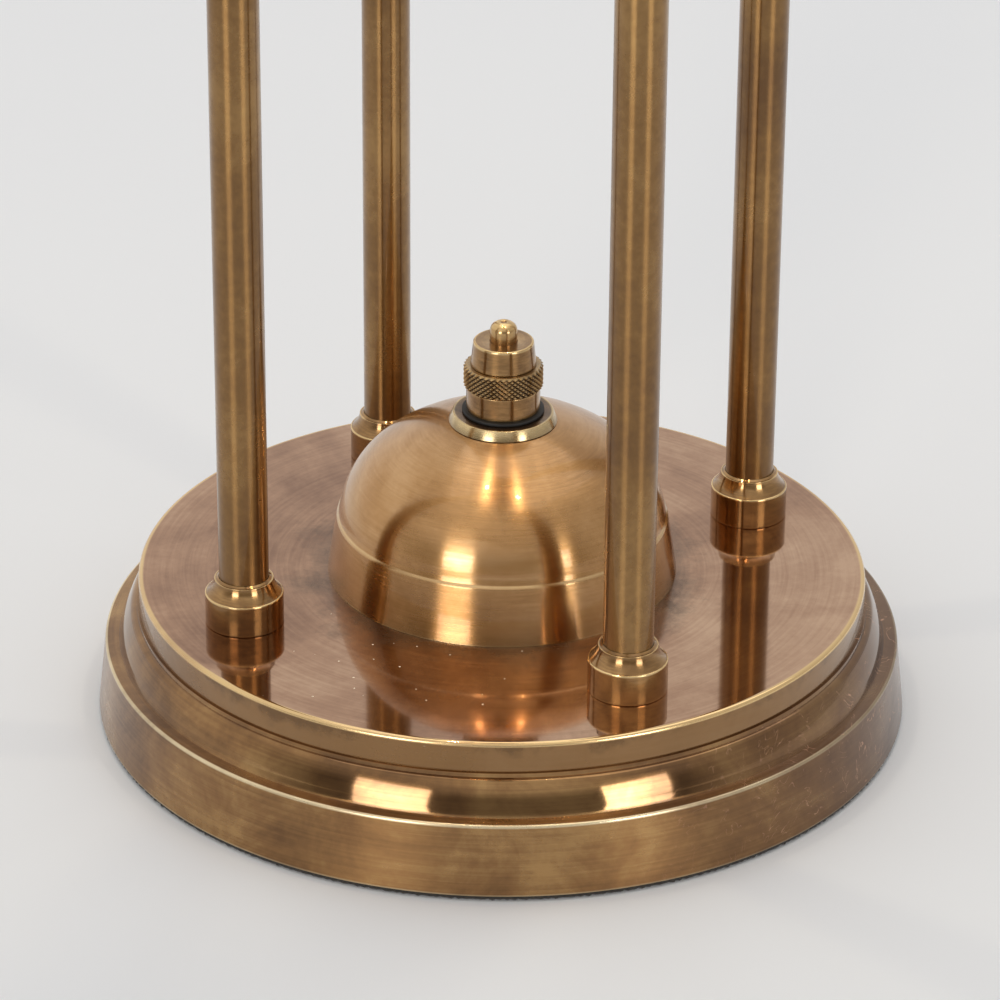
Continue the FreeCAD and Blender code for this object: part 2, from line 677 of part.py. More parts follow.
def canopy_cover():
    """Spun brass cover with an upright band and an ovolo that repeats the foot's moulding."""
    turned_part(
        "canopy_cover",
        [
            ("canopy_radius - canopy_sheet", "canopy_height"),
            ("canopy_radius", "canopy_height"),
            ("canopy_radius", "canopy_band_top - 1"),
            ("canopy_radius - 1", "canopy_band_top"),
            ("canopy_step_radius", "canopy_band_top", "canopy_ovolo_bend"),
            ("canopy_crown_radius", "canopy_top"),
            ("sleeve_radius + 0.1", "canopy_top"),
            ("sleeve_radius + 0.1", "canopy_top - canopy_sheet"),
            ("canopy_crown_radius", "canopy_top - canopy_sheet", "-(canopy_ovolo_bend - canopy_sheet)"),
            ("canopy_step_radius - canopy_sheet", "canopy_band_top - canopy_sheet"),
            ("canopy_radius - canopy_sheet", "canopy_band_top - canopy_sheet"),
        ],
    )


def guide_sleeve():
    """Brass tube through the canopy in which the stem slides."""
    turned_part("guide_sleeve", ring("sleeve_bore", "sleeve_radius", "sleeve_bottom", "sleeve_top"))


def sleeve_collar():
    """Turned ring under the canopy plate, soldered to the sleeve."""
    low = "canopy_height - sleeve_collar_height"
    turned_part(
        "sleeve_collar",
        [
            ("sleeve_radius + 0.1", low),
            ("sleeve_radius + 1.6", low),
            ("sleeve_collar_radius", f"{low} + 5"),
            ("sleeve_collar_radius", "canopy_height"),
            ("sleeve_radius + 0.1", "canopy_height"),
        ],
    )


def neck_collar():
    """Turned ring on top of the canopy cover."""
    turned_part(
        "neck_collar",
        [
            ("sleeve_radius + 0.1", "canopy_top"),
            ("sleeve_collar_radius", "canopy_top"),
            ("sleeve_collar_radius", "canopy_top + 4"),
            ("sleeve_radius + 2", "neck_collar_top"),
            ("sleeve_radius + 0.1", "neck_collar_top"),
        ],
    )


def neck_bush():
    """Plastic bush in the top of the sleeve that guides the stem."""
    turned_part("neck_bush", ring("neck_bush_bore", "sleeve_bore", "neck_bush_bottom", "sleeve_top"))


def sleeve_finial():
    """Turned plug with a ball that closes the bottom of the sleeve."""
    turned_part(
        "sleeve_finial",
        [
            ("0", "finial_bottom"),
            ("knob_tip", "finial_bottom", "finial_ball"),
            ("finial_waist", "sleeve_bottom - 8"),
            ("finial_waist - 2", "sleeve_bottom - 6"),
            ("sleeve_radius + 1", "sleeve_bottom - 3"),
            ("sleeve_radius + 1", "sleeve_bottom"),
            ("sleeve_bore", "sleeve_bottom"),
            ("sleeve_bore", "plug_top"),
            ("0", "plug_top"),
        ],
    )


def clamp_nut():
    """Knurled nut on top of the sleeve that grips the stem when it is turned."""
    turned_part(
        "clamp_nut",
        [
            ("sleeve_radius + clamp_gap", "clamp_bottom"),
            ("clamp_radius - clamp_bevel", "clamp_bottom"),
            ("clamp_radius", "clamp_bottom + clamp_bevel"),
            ("clamp_radius", "clamp_top - 3 * clamp_bevel"),
            ("clamp_radius - 3 * clamp_bevel", "clamp_top"),
            ("clamp_bore", "clamp_top"),
            ("clamp_bore", "clamp_ceiling"),
            ("sleeve_radius + clamp_gap", "clamp_ceiling"),
        ],
    )


# ---------------------------------------------------------------- stem and arm


def stem_tube():
    """Drawn brass tube that slides in the sleeve."""
    turned_part("stem_tube", ring("stem_radius - stem_wall", "stem_radius", "stem_bottom", "stem_top"))


def stem_bush():
    """Plastic bush on the bottom of the stem, a running fit in the sleeve."""
    turned_part(
        "stem_bush",
        [
            ("stem_radius / 2", "stem_bush_bottom"),
            ("stem_bush_radius", "stem_bush_bottom"),
            ("stem_bush_radius", "stem_bush_top"),
            ("stem_radius", "stem_bush_top"),
            ("stem_radius", "stem_bottom"),
            ("stem_radius / 2", "stem_bottom"),
        ],
    )


def swivel_post():
    """Turned plug on top of the stem with the journal the arm swings on."""
    turned_part(
        "swivel_post",
        [
            ("0", "post_plug_bottom"),
            ("stem_radius - stem_wall", "post_plug_bottom"),
            ("stem_radius - stem_wall", "stem_top"),
            ("post_shoulder", "stem_top"),
            ("post_shoulder", "post_shoulder_top"),
            ("post_journal", "post_shoulder_top"),
            ("post_journal", "post_top"),
            ("0", "post_top"),
        ],
    )


def arm_block():
    """Turned head: an upright socket over the journal and a level barrel for the arm."""
    body = new_body("arm_block")
    socket = ("0", "0", "block_radius")
    extrude(body, "Pad", [socket], "block_bottom", "arm_height")
    barrel = [("0", "arm_height", "barrel_radius")]
    extrude(body, "Pad", barrel, "-barrel_half", "barrel_half", "XZ_Plane")
    extrude(body, "Pocket", [("0", "0", "block_bore")], "block_bottom - 1", "block_ceiling")
    arm = [("0", "arm_height", "arm_radius")]
    extrude(body, "Pocket", arm, "-barrel_half - 1", "barrel_half + 1", "XZ_Plane")
    screw = [("0", "screw_height", "screw_radius + 0.05")]
    extrude(body, "Pocket", screw, "0", "block_radius + 1", "YZ_Plane")


def swivel_screw():
    """Thumbscrew in the side of the head that stiffens the swing of the arm."""
    body = turned_part(
        "swivel_screw",
        [
            ("0", "screw_start"),
            ("screw_radius", "screw_start"),
            ("screw_radius", "screw_head_start"),
            ("screw_head_radius - 0.8", "screw_head_start"),
            ("screw_head_radius", "screw_head_start + 0.8"),
            ("screw_head_radius", "screw_head_end - 0.8"),
            ("screw_head_radius - 0.8", "screw_head_end"),
            ("0", "screw_head_end"),
        ],
    )
    place(body, z="screw_height", turn="90", axis=(0, 1, 0))


def arm_tube():
    """Level brass tube through the head."""
    body = new_body("arm_tube")
    walls = [("0", "arm_height", "arm_radius"), ("0", "arm_height", "arm_radius - arm_wall")]
    extrude(body, "Pad", walls, "-arm_back", "arm_front", "XZ_Plane")


def arm_knob():
    """Turned knob that closes the back of the arm."""
    body = turned_part(
        "arm_knob",
        [
            ("0", "arm_back - 12"),
            ("arm_radius - arm_wall", "arm_back - 12"),
            ("arm_radius - arm_wall", "arm_back"),
            ("arm_radius + 1", "arm_back"),
            ("arm_radius + 1", "arm_back + 2"),
            ("knob_neck", "arm_back + 3.5"),
            ("knob_radius", "arm_back + 7"),
            ("knob_radius", "arm_back + 16", "knob_radius + 3"),
            ("knob_tip", "arm_back + 21"),
            ("0", "arm_back + 21"),
        ],
    )
    place(body, z="arm_height", turn="-90", axis=(1, 0, 0))


def arm_spigot():
    """Turned plug in the front of the arm with the hollow journal the shade turns on."""
    turned_along_y(
        "arm_spigot",
        [
            ("journal_radius / 2", "spigot_plug"),
            ("arm_radius - arm_wall", "spigot_plug"),
            ("arm_radius - arm_wall", "arm_front"),
            ("spigot_shoulder_radius", "arm_front"),
            ("spigot_shoulder_radius", "spigot_shoulder"),
            ("journal_radius", "spigot_shoulder"),
            ("journal_radius", "journal_end"),
            ("journal_radius / 2", "journal_end"),
        ],
        "arm_height",
    )


def journal_nut():
    """Thin nut on the journal inside the shade."""
    outline = ring("journal_radius", "journal_nut_radius", "journal_nut_start", "journal_nut_end")
    turned_along_y("journal_nut", outline, "arm_height")


# ---------------------------------------------------------------- shade, lampholder and bulb


def shade_body():
    """Trough of sheet brass, open below, with rolled rims and cooling slots over the lampholder."""
    body = new_body("shade_body")
    centre = "arm_height - shade_drop"
    foot = f"{centre} - shade_skirt"
    inner = "shade_radius - shade_sheet"
    arch = [
        ("shade_radius", foot),
        ("shade_radius", centre, "shade_radius + 0.001"),
        ("-shade_radius", centre),
        ("-shade_radius", foot),
        (f"-({inner})", foot),
        (f"-({inner})", centre, f"-({inner} + 0.001)"),
        (inner, centre),
        (inner, foot),
    ]
    extrude(body, "Pad", [arch], "shade_start", "shade_end", "XZ_Plane")
    for side in ("", "-"):
        rim = [(f"{side}(shade_radius - shade_sheet / 2)", foot, "rim_radius")]
        extrude(body, "Pad", rim, "shade_start", "shade_end", "XZ_Plane")
    for number in range(DIMENSIONS["vent_count"]):
        far = f"-vent_first - {number} * vent_pitch"
        slot = box_loop("-vent_half_length", f"{far} - vent_width", "vent_half_length", far)
        extrude(body, "Pocket", [slot], "arm_height", "arm_height + shade_radius")


def end_plate(name, low, high, hole):
    """Flat end of the shade with one hole on the arm's axis."""
    body = new_body(name)
    centre = "arm_height - shade_drop"
    foot = f"{centre} - shade_skirt"
    outline = [
        ("shade_radius", foot),
        ("shade_radius", centre, "shade_radius + 0.001"),
        ("-shade_radius", centre),
        ("-shade_radius", foot),
    ]
    loops = [outline, ("0", "arm_height", hole)]
    extrude(body, "Pad", loops, low, high, "XZ_Plane")


def shade_hub():
    """Turned boss on the back of the shade that runs on the arm's journal."""
    turned_along_y(
        "shade_hub",
        [
            ("hub_bore", "hub_start"),
            ("hub_radius - 1", "hub_start"),
            ("hub_radius", "hub_start + 1"),
            ("hub_radius", "shade_start - end_plate"),
            ("hub_bore", "shade_start - end_plate"),
        ],
        "arm_height",
    )


def shade_knob():
    """Small turned knob on the front of the shade, for tilting it."""
    turned_along_y(
        "shade_knob",
        [
            ("0", "shade_end - 3"),
            ("journal_radius / 2", "shade_end - 3"),
            ("journal_radius / 2", "shade_end + end_plate"),
            ("shade_knob_radius - 1", "shade_end + end_plate"),
            ("shade_knob_radius - 1", "shade_end + end_plate + 2"),
            ("shade_knob_radius / 2", "shade_end + end_plate + 4"),
            ("shade_knob_radius / 2", "shade_end + end_plate + 8"),
            ("shade_knob_radius", "shade_end + end_plate + 11"),
            ("shade_knob_radius", "shade_end + shade_knob_length - 3", "shade_knob_radius + 4"),
            ("knob_tip", "shade_end + shade_knob_length"),
            ("0", "shade_end + shade_knob_length"),
        ],
        "arm_height",
    )


def lampholder():
    """Moulded lampholder on the inside of the back plate."""
    turned_along_y(
        "lampholder",
        [
            ("0", "shade_start"),
            ("lampholder_radius", "shade_start"),
            ("lampholder_radius", "lampholder_end"),
            ("lampholder_bore", "lampholder_end"),
            ("lampholder_bore", "lampholder_floor"),
            ("0", "lampholder_floor"),
        ],
        "arm_height - lampholder_drop",
    )


def bulb_cap():
    """Screw cap of the bulb."""
    turned_along_y(
        "bulb_cap",
        [
            ("0", "bulb_cap_start"),
            ("bulb_tip", "bulb_cap_start"),
            ("bulb_cap_radius", "bulb_cap_start + 2"),
            ("bulb_cap_radius", "bulb_cap_end"),
            ("0", "bulb_cap_end"),
        ],
        "arm_height - lampholder_drop",
    )


def bulb_glass():
    """Frosted tubular bulb."""
    turned_along_y(
        "bulb_glass",
        [
            ("0", "bulb_cap_end"),
            ("bulb_cap_radius", "bulb_cap_end"),
            ("bulb_radius", "bulb_shoulder"),
            ("bulb_radius", "bulb_end - bulb_radius", "bulb_radius"),
            ("bulb_tip", "bulb_end"),
            ("0", "bulb_end"),
        ],
        "arm_height - lampholder_drop",
    )


# ---------------------------------------------------------------- build, check and write


def build():
    for make in (
        felt_pad, cover_plate, iron_weight, base_skirt, top_tray, cord_gland, gland_nut,
        switch_dome, dome_screws, switch_body, switch_locknut, switch_flange, seal_ring, switch_collar,
        knurled_ring, switch_cap, push_button, button_spring, riser_lead, grub_screws, lamp_pipes, pipe_washers,
        pipe_nuts, canopy_plate, canopy_cover, guide_sleeve, sleeve_collar, neck_collar,
        neck_bush, sleeve_finial, clamp_nut, stem_tube, stem_bush, swivel_post, arm_block, swivel_screw, arm_tube,
        arm_knob, arm_spigot, journal_nut, shade_body, shade_hub, shade_knob, lampholder, bulb_cap, bulb_glass,
    ):
        make()
    for place_name, turn in COLUMNS.items():
        column_tube(place_name, turn)
        collar("foot", place_name, turn, "tray_top", True)
        collar("top", place_name, turn, "canopy_height", False)
    end_plate("shade_back_plate", "shade_start - end_plate", "shade_start", "hub_bore + pipe_gap")
    end_plate("shade_front_plate", "shade_end", "shade_end + end_plate", "journal_radius / 2 + 0.1")


build()
document.recompute()

for entry in document.Objects:
    if {"Invalid", "Error"} & set(entry.State):
        raise RuntimeError(f"{entry.Label} did not recompute: {entry.State}")
    shape = getattr(entry, "Shape", None)
    if shape is not None and entry in nodes and (shape.isNull() or not shape.isValid()):
        raise RuntimeError(f"{entry.Label} has a bad shape")

os.makedirs("parts", exist_ok=True)
for node in nodes:
    node.Shape.exportStep(f"parts/{node.Label}.step")
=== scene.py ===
import math

import bmesh
import bpy
from mathutils import Matrix, Vector


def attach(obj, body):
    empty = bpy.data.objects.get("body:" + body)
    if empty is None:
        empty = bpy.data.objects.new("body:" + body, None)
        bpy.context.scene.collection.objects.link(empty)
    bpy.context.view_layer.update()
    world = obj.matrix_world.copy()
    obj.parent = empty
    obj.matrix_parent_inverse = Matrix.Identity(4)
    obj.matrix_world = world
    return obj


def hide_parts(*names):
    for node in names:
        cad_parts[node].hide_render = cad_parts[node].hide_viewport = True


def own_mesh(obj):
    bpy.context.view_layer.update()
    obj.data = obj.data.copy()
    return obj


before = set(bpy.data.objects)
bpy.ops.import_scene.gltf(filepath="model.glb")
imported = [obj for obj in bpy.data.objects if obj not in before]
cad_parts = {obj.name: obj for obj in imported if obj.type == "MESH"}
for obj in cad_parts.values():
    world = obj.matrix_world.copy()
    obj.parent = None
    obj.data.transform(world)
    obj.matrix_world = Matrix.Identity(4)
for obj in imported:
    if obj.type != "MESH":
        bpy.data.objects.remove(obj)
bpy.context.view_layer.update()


# ---- Felt pad ----
# Dark wool felt, 2 mm thick, stamped round and glued under the whole foot. Its cut edge is slightly ragged and
# shows as a thin dark line between the brass wall and the floor.

MM = 0.001  # sizes are written in millimetres and made metres


def every(size):
    """The texture scale that repeats a pattern at a size in millimetres."""
    return 1 / (size * MM)


def linear(colour):
    """Linear RGBA of an sRGB hex colour."""
    parts = [int(colour[i : i + 2], 16) / 255 for i in (0, 2, 4)]
    return (*[c / 12.92 if c <= 0.04045 else ((c + 0.055) / 1.055) ** 2.4 for c in parts], 1.0)


def add(tree, kind, inputs=None, stops=(), **settings):
    """Adds a node: its settings, its inputs (a value or a link each) and, on a colour ramp, its stops."""
    node = tree.nodes.new(kind)
    for name, value in settings.items():
        setattr(node, name, value)
    for name, value in (inputs or {}).items():
        if isinstance(value, bpy.types.NodeSocket):
            tree.links.new(value, node.inputs[name])
        else:
            node.inputs[name].default_value = value
    for number, (position, colour) in enumerate(stops):
        elements = node.color_ramp.elements
        element = elements[number] if number < 2 else elements.new(position)
        element.position = position
        element.color = linear(colour)
    return node


def new_material(name, **shader_values):
    """A material with its principled shader, given its constant values, and its object coordinates."""
    material = bpy.data.materials.new(name)
    material.use_nodes = True
    tree = material.node_tree
    tree.nodes.clear()
    shader = add(tree, "ShaderNodeBsdfPrincipled", {k.replace("_", " "): v for k, v in shader_values.items()})
    add(tree, "ShaderNodeOutputMaterial", {"Surface": shader.outputs["BSDF"]})
    return material, tree, shader, add(tree, "ShaderNodeTexCoord").outputs["Object"]


def moulded(name, dark, light, speck, rough, depth, **shader_values):
    """A cast, moulded or plated finish: a fine mottle that moves its colour, roughness and bump. The specks' size and
    depth are in mm, and they are drawn larger than the real ones so that they show."""
    material, tree, shader, place = new_material(name, **shader_values)
    mottle = add(tree, "ShaderNodeTexNoise", {"Vector": place, "Scale": every(speck), "Detail": 5.0}).outputs["Fac"]
    tint = add(tree, "ShaderNodeValToRGB", {"Fac": mottle}, stops=((0.3, dark), (0.75, light)))
    gloss = add(tree, "ShaderNodeMapRange", {"Value": mottle, "To Min": rough[0], "To Max": rough[1]})
    bump = add(tree, "ShaderNodeBump", {"Height": mottle, "Distance": depth * MM, "Strength": 0.6})
    tree.links.new(tint.outputs["Color"], shader.inputs["Base Color"])
    tree.links.new(gloss.outputs["Result"], shader.inputs["Roughness"])
    tree.links.new(bump.outputs["Normal"], shader.inputs["Normal"])
    return material


def close_shape(name, shape, crease=32):
    """Makes the object from a bmesh, smooth except across edges sharper than the crease angle."""
    mesh = bpy.data.meshes.new(name)
    shape.to_mesh(mesh)
    shape.free()
    mesh.shade_smooth()
    mesh.set_sharp_from_angle(angle=math.radians(crease))
    piece = bpy.data.objects.new(name, mesh)
    bpy.context.scene.collection.objects.link(piece)
    return piece


def lathe(profile, steps=160):
    """Turns a closed profile about the Z axis. Each entry is (radius, height, wear, rounding) in mm, or
    ("swing", centre radius, centre height, degrees, wear), which carries the last point round a centre."""
    shape = bmesh.new()
    wear = shape.verts.layers.float.new("wear")
    corners = []
    points = []
    for entry in profile:
        if entry[0] == "swing":
            _, across, up, degrees, *mark = entry
            points[-1][wear] = mark[0] if mark else points[-1][wear]
            swung = bmesh.ops.spin(
                shape, geom=[points[-1]], cent=(across * MM, 0, up * MM), axis=(0, -1, 0),
                angle=math.radians(degrees), steps=max(4, int(abs(degrees) / 4)),
            )
            points.append(next(v for v in swung["geom_last"] if isinstance(v, bmesh.types.BMVert)))
            continue
        radius, height, *extra = entry
        point = shape.verts.new((radius * MM, 0, height * MM))
        point[wear] = extra[0] if extra else 0.0
        if points:
            shape.edges.new((points[-1], point))
        points.append(point)
        if len(extra) > 1:
            corners.append((point, extra[1]))
    if points[0].co.x > 0 or points[-1].co.x > 0:
        shape.edges.new((points[-1], points[0]))
    for point, reach in corners:
        bmesh.ops.bevel(shape, geom=[point], offset=reach * MM, segments=4, profile=0.5, affect="VERTICES",
                        material=-1)
    bmesh.ops.spin(shape, geom=shape.verts[:] + shape.edges[:], cent=(0, 0, 0), axis=(0, 0, 1),
                   angle=2 * math.pi, steps=steps, use_merge=True)
    bmesh.ops.remove_doubles(shape, verts=shape.verts, dist=1e-6)
    bmesh.ops.recalc_face_normals(shape, faces=shape.faces)
    return shape


def turned(name, profile, steps=160, at=(0, 0), lay=None, crease=32):
    """A turned piece standing at a point, or lying towards -Y at a height when lay is given."""
    shape = lathe(profile, steps)
    if lay is not None:
        bmesh.ops.rotate(shape, verts=shape.verts, cent=(0, 0, 0), matrix=Matrix.Rotation(math.radians(90), 3, "X"))
        bmesh.ops.translate(shape, verts=shape.verts, vec=(0, 0, lay * MM))
    bmesh.ops.translate(shape, verts=shape.verts, vec=(at[0] * MM, at[1] * MM, 0))
    return close_shape(name, shape, crease)


def fit(piece, body, slot, material, *nodes):
    """Gives a piece its material and its body, and hides the CAD nodes it stands for. The slot is not used."""
    piece.data.materials.append(material)
    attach(piece, body)
    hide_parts(*nodes)


# pressed wool felt: matt, faintly pale along its edge where loose fibres catch light; tufts drawn 1.1 mm across
felt = moulded("black_wool_felt", "100e0c", "38322b", 1.1, (0.9, 1.0), 0.4, Sheen_Weight=0.3)
FELT_RADIUS, FELT_TOP = 149.2, 2
pad = turned("felt_pad_disc", [(0, 0.02), (FELT_RADIUS - 0.6, 0.02), (FELT_RADIUS, 0.6), (FELT_RADIUS, 1.8),
                               (FELT_RADIUS - 0.3, FELT_TOP), (0, FELT_TOP)], steps=720)
for point in pad.data.vertices:
    reach = point.co.xy.length
    if reach > (FELT_RADIUS - 1) * MM:
        # the stamped edge stands in and out by a few tenths of a millimetre
        turn = math.atan2(point.co.y, point.co.x)
        ragged = 0.3 * math.sin(turn * 211) * math.sin(turn * 37 + 1.1) + 0.25 * math.sin(turn * 331)
        point.co.xy *= 1 + ragged * MM / reach
fit(pad, "stand", "felt", felt, "felt_pad")


# ---- Hidden ironwork ----
# The cast-iron weight, its steel cover plate, the lamp pipes with their nuts and washers, and the small screws.
# They are closed in by the brass, keep their own shapes and get cast, plated or moulded finishes.


def dress(material, *nodes):
    """Gives CAD nodes that keep their shape a finished material."""
    for name in nodes:
        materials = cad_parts[name].data.materials
        materials.clear()
        materials.append(material)


# sand-cast iron under black paint: dull, with 2 mm pits from the sand
cast_iron = moulded("black_painted_cast_iron", "141416", "2b2926", 2, (0.6, 0.8), 0.3)
# zinc plate on steel: pale grey and softly shiny, with faint 3 mm clouds
zinc = moulded("zinc_plated_steel", "96968f", "c9cac6", 3, (0.28, 0.45), 0.05, Metallic=1.0)
# compression-moulded bakelite: near black with brown swirls and an even, low gloss
bakelite = moulded("black_moulded_bakelite", "0d0b0a", "241b17", 4.5, (0.28, 0.42), 0.05)
# turned acetal: milky white, waxy and smooth
acetal = moulded("white_acetal", "d0cdc2", "e9e7de", 3.3, (0.4, 0.5), 0.05)
# extruded PVC, the lead's sheath: white, with a dull even shine
pvc = moulded("white_extruded_pvc", "d0cdc2", "e9e7de", 3.3, (0.4, 0.5), 0.05)
dress(cast_iron, "iron_weight")
dress(zinc, "cover_plate", "lamp_pipes", "pipe_nuts", "pipe_washers", "grub_screws", "dome_screws",
      "switch_locknut", "gland_nut", "journal_nut")
dress(bakelite, "switch_body")
dress(acetal, "neck_bush", "stem_bush")
dress(pvc, "riser_lead")


# ---- Foot, lower tier ----
# Spun from sheet brass: a leaning wall with a rolled top edge, a narrow ledge and an ovolo moulding. It is aged,
# lacquered and wiped back to bright gold along its edges.


def aged_brass(name, tones, at=(0, 0, 0), axis="Z", rough=(0.2, 0.34), mark=1.43, mark_depth=0.02,
               stretch=0.6, cloud_size=38.5, cloud_share=0.6, mirror=None, coat=0.06):
    """Lacquered antique brass polished round an axis. Tones are dark, middle, light and the worn edge. The polishing
    marks, their depth and the patina's clouds are in mm, and mirror gives the two heights in mm between which the
    piece is buffed bright."""
    material, tree, shader, place = new_material(name, Metallic=1.0, Anisotropic=stretch, Anisotropic_Rotation=0.25,
                                                 Coat_Weight=0.5, Coat_Roughness=coat)
    local = add(tree, "ShaderNodeVectorMath", {0: place, 1: [c * MM for c in at]}, operation="SUBTRACT")
    parts = add(tree, "ShaderNodeSeparateXYZ", {"Vector": local.outputs["Vector"]})
    along = parts.outputs[axis]
    across = add(tree, "ShaderNodeVectorMath",
                 {0: local.outputs["Vector"], 1: [0.0 if c == axis else 1.0 for c in "XYZ"]}, operation="MULTIPLY")
    reach = add(tree, "ShaderNodeVectorMath", {0: across.outputs["Vector"]}, operation="LENGTH").outputs["Value"]
    ring = add(tree, "ShaderNodeVectorMath", {0: across.outputs["Vector"]}, operation="NORMALIZE")
    # the polishing marks run round the axis, so the sheen is drawn out across them
    around = add(tree, "ShaderNodeVectorMath",
                 {0: [1.0 if c == axis else 0.0 for c in "XYZ"], 1: ring.outputs["Vector"]},
                 operation="CROSS_PRODUCT")
    tree.links.new(around.outputs["Vector"], shader.inputs["Tangent"])
    # the real marks are about 0.1 mm apart, too fine to show, so they are drawn coarser, at the size given; they
    # fade in and out 2.4 times over the piece
    step = add(tree, "ShaderNodeMath", {0: reach, 1: along}, operation="SUBTRACT").outputs["Value"]
    line = add(tree, "ShaderNodeMath", {0: step, 1: every(mark)}, operation="MULTIPLY").outputs["Value"]
    arcs = add(tree, "ShaderNodeVectorMath", {0: ring.outputs["Vector"], "Scale": 2.4}, operation="SCALE")
    brush = add(tree, "ShaderNodeTexNoise",
                {"Vector": arcs.outputs["Vector"], "W": line, "Scale": 1.0, "Detail": 4.0, "Roughness": 0.6},
                noise_dimensions="4D").outputs["Fac"]
    # patina: clouds of the size given, with 2.6 mm specks in them where the lacquer has let air through
    cloud = add(tree, "ShaderNodeTexNoise", {"Vector": place, "Scale": every(cloud_size), "Detail": 6.0,
                                             "Roughness": 0.6, "Distortion": 0.5}).outputs["Fac"]
    speck = add(tree, "ShaderNodeTexNoise", {"Vector": place, "Scale": every(2.63), "Detail": 4.0}).outputs["Fac"]
    tone = add(tree, "ShaderNodeMath", {0: brush, 1: 0.92 - cloud_share}, operation="MULTIPLY").outputs["Value"]
    tone = add(tree, "ShaderNodeMath", {0: cloud, 1: cloud_share, 2: tone}, operation="MULTIPLY_ADD")
    tone = add(tree, "ShaderNodeMath", {0: speck, 1: 0.08, 2: tone.outputs["Value"]}, operation="MULTIPLY_ADD")
    tint = add(tree, "ShaderNodeValToRGB", {"Fac": tone.outputs["Value"]},
               stops=((0.38, tones[0]), (0.5, tones[1]), (0.62, tones[2])))
    worn = add(tree, "ShaderNodeAttribute", attribute_name="wear").outputs["Fac"]
    patchy = add(tree, "ShaderNodeMapRange", {"Value": cloud, "From Min": 0.3, "From Max": 0.6, "To Min": 0.5})
    worn = add(tree, "ShaderNodeMath", {0: worn, 1: patchy.outputs["Result"]}, operation="MULTIPLY",
               use_clamp=True).outputs["Value"]
    finished = add(tree, "ShaderNodeMix", {0: worn, 6: tint.outputs["Color"], 7: linear(tones[3])},
                   data_type="RGBA")
    tree.links.new(finished.outputs[2], shader.inputs["Base Color"])
    gloss = add(tree, "ShaderNodeMapRange", {"Value": tone.outputs["Value"], "From Min": 0.36, "From Max": 0.64,
                                             "To Min": rough[1], "To Max": rough[0]}).outputs["Result"]
    if mirror:
        # the buffing fades out over 0.6 mm at either height, and takes 72% off the roughness between them
        start, end = mirror
        above = add(tree, "ShaderNodeMapRange", {"Value": along, "From Min": start * MM,
                                                 "From Max": (start + 0.6) * MM}).outputs["Result"]
        below = add(tree, "ShaderNodeMapRange", {"Value": along, "From Min": (end + 0.6) * MM,
                                                 "From Max": end * MM}).outputs["Result"]
        buffed = add(tree, "ShaderNodeMath", {0: above, 1: below}, operation="MULTIPLY").outputs["Value"]
        kept_dull = add(tree, "ShaderNodeMath", {0: buffed, 1: -0.72, 2: 1.0}, operation="MULTIPLY_ADD")
        gloss = add(tree, "ShaderNodeMath", {0: gloss, 1: kept_dull.outputs["Value"]},
                    operation="MULTIPLY").outputs["Value"]
    tree.links.new(gloss, shader.inputs["Roughness"])
    bump = add(tree, "ShaderNodeBump", {"Height": brush, "Distance": mark_depth * MM, "Strength": 0.5})
    tree.links.new(bump.outputs["Normal"], shader.inputs["Normal"])
    return material


# spun sheet, polished round and lacquered: olive brown with tan clouds, satin on the wall and mirror bright on the
# ovolo, where the studio lights show as sharp patches
SPUN = ("745332", "926c42", "b08a58", "efdcb4")
skirt_brass = aged_brass("aged_spun_brass_wall", SPUN, rough=(0.24, 0.36), stretch=0.7, mirror=(29.2, 44),
                         cloud_share=0.68, mark_depth=0.008)
skirt = turned(
    "base_skirt_spun",
    [
        (148.5, 2.0), (150, 2.0, 0.5, 0.3), (149.9, 2.8, 0.0), (147.1, 27.4, 0.0), (146.95, 28.6, 1.0, 0.6),
        (146.0, 28.7, 0.0), (141.95, 28.8, 0.0), (141.8, 29.0, 0.0),
        ("swing", 105.19, 20.88, 17.5, 0.0), ("swing", 134.86, 38.13, 54.0, 0.0), (135.0, 42.65),
        (124, 42.65), (124, 41.2), (135.2, 41.2), (136.3, 39.3), (140.0, 28.8), (140.3, 27.3), (145.4, 27.1),
    ],
    steps=360,
)
fit(skirt, "stand", "antique_brass_spun", skirt_brass, "base_skirt")


def over(material, mask, tint, roughness=None):
    """Lays a second colour, and its roughness, over a finished material wherever the mask is 1."""
    tree = material.node_tree
    shader = next(node for node in tree.nodes if node.type == "BSDF_PRINCIPLED")
    below = shader.inputs["Base Color"].links[0].from_socket
    colour = add(tree, "ShaderNodeMix", {0: mask, 6: below, 7: linear(tint)}, data_type="RGBA").outputs[2]
    tree.links.new(colour, shader.inputs["Base Color"])
    if roughness is not None:
        below = shader.inputs["Roughness"].links[0].from_socket
        gloss = add(tree, "ShaderNodeMix", {0: mask, 2: below, 3: roughness}, data_type="FLOAT").outputs[0]
        tree.links.new(gloss, shader.inputs["Roughness"])


# the wall is browner towards +X, on its right side, with fine crossing scratches there
tree = skirt_brass.node_tree
place = add(tree, "ShaderNodeTexCoord").outputs["Object"]
sides = add(tree, "ShaderNodeSeparateXYZ", {"Vector": place})
right_side_mask = add(tree, "ShaderNodeMapRange", {"Value": sides.outputs["X"], "From Min": 0.04, "From Max": 0.15,
                                           "To Max": 0.75}).outputs["Result"]
over(skirt_brass, right_side_mask, "5c4130")
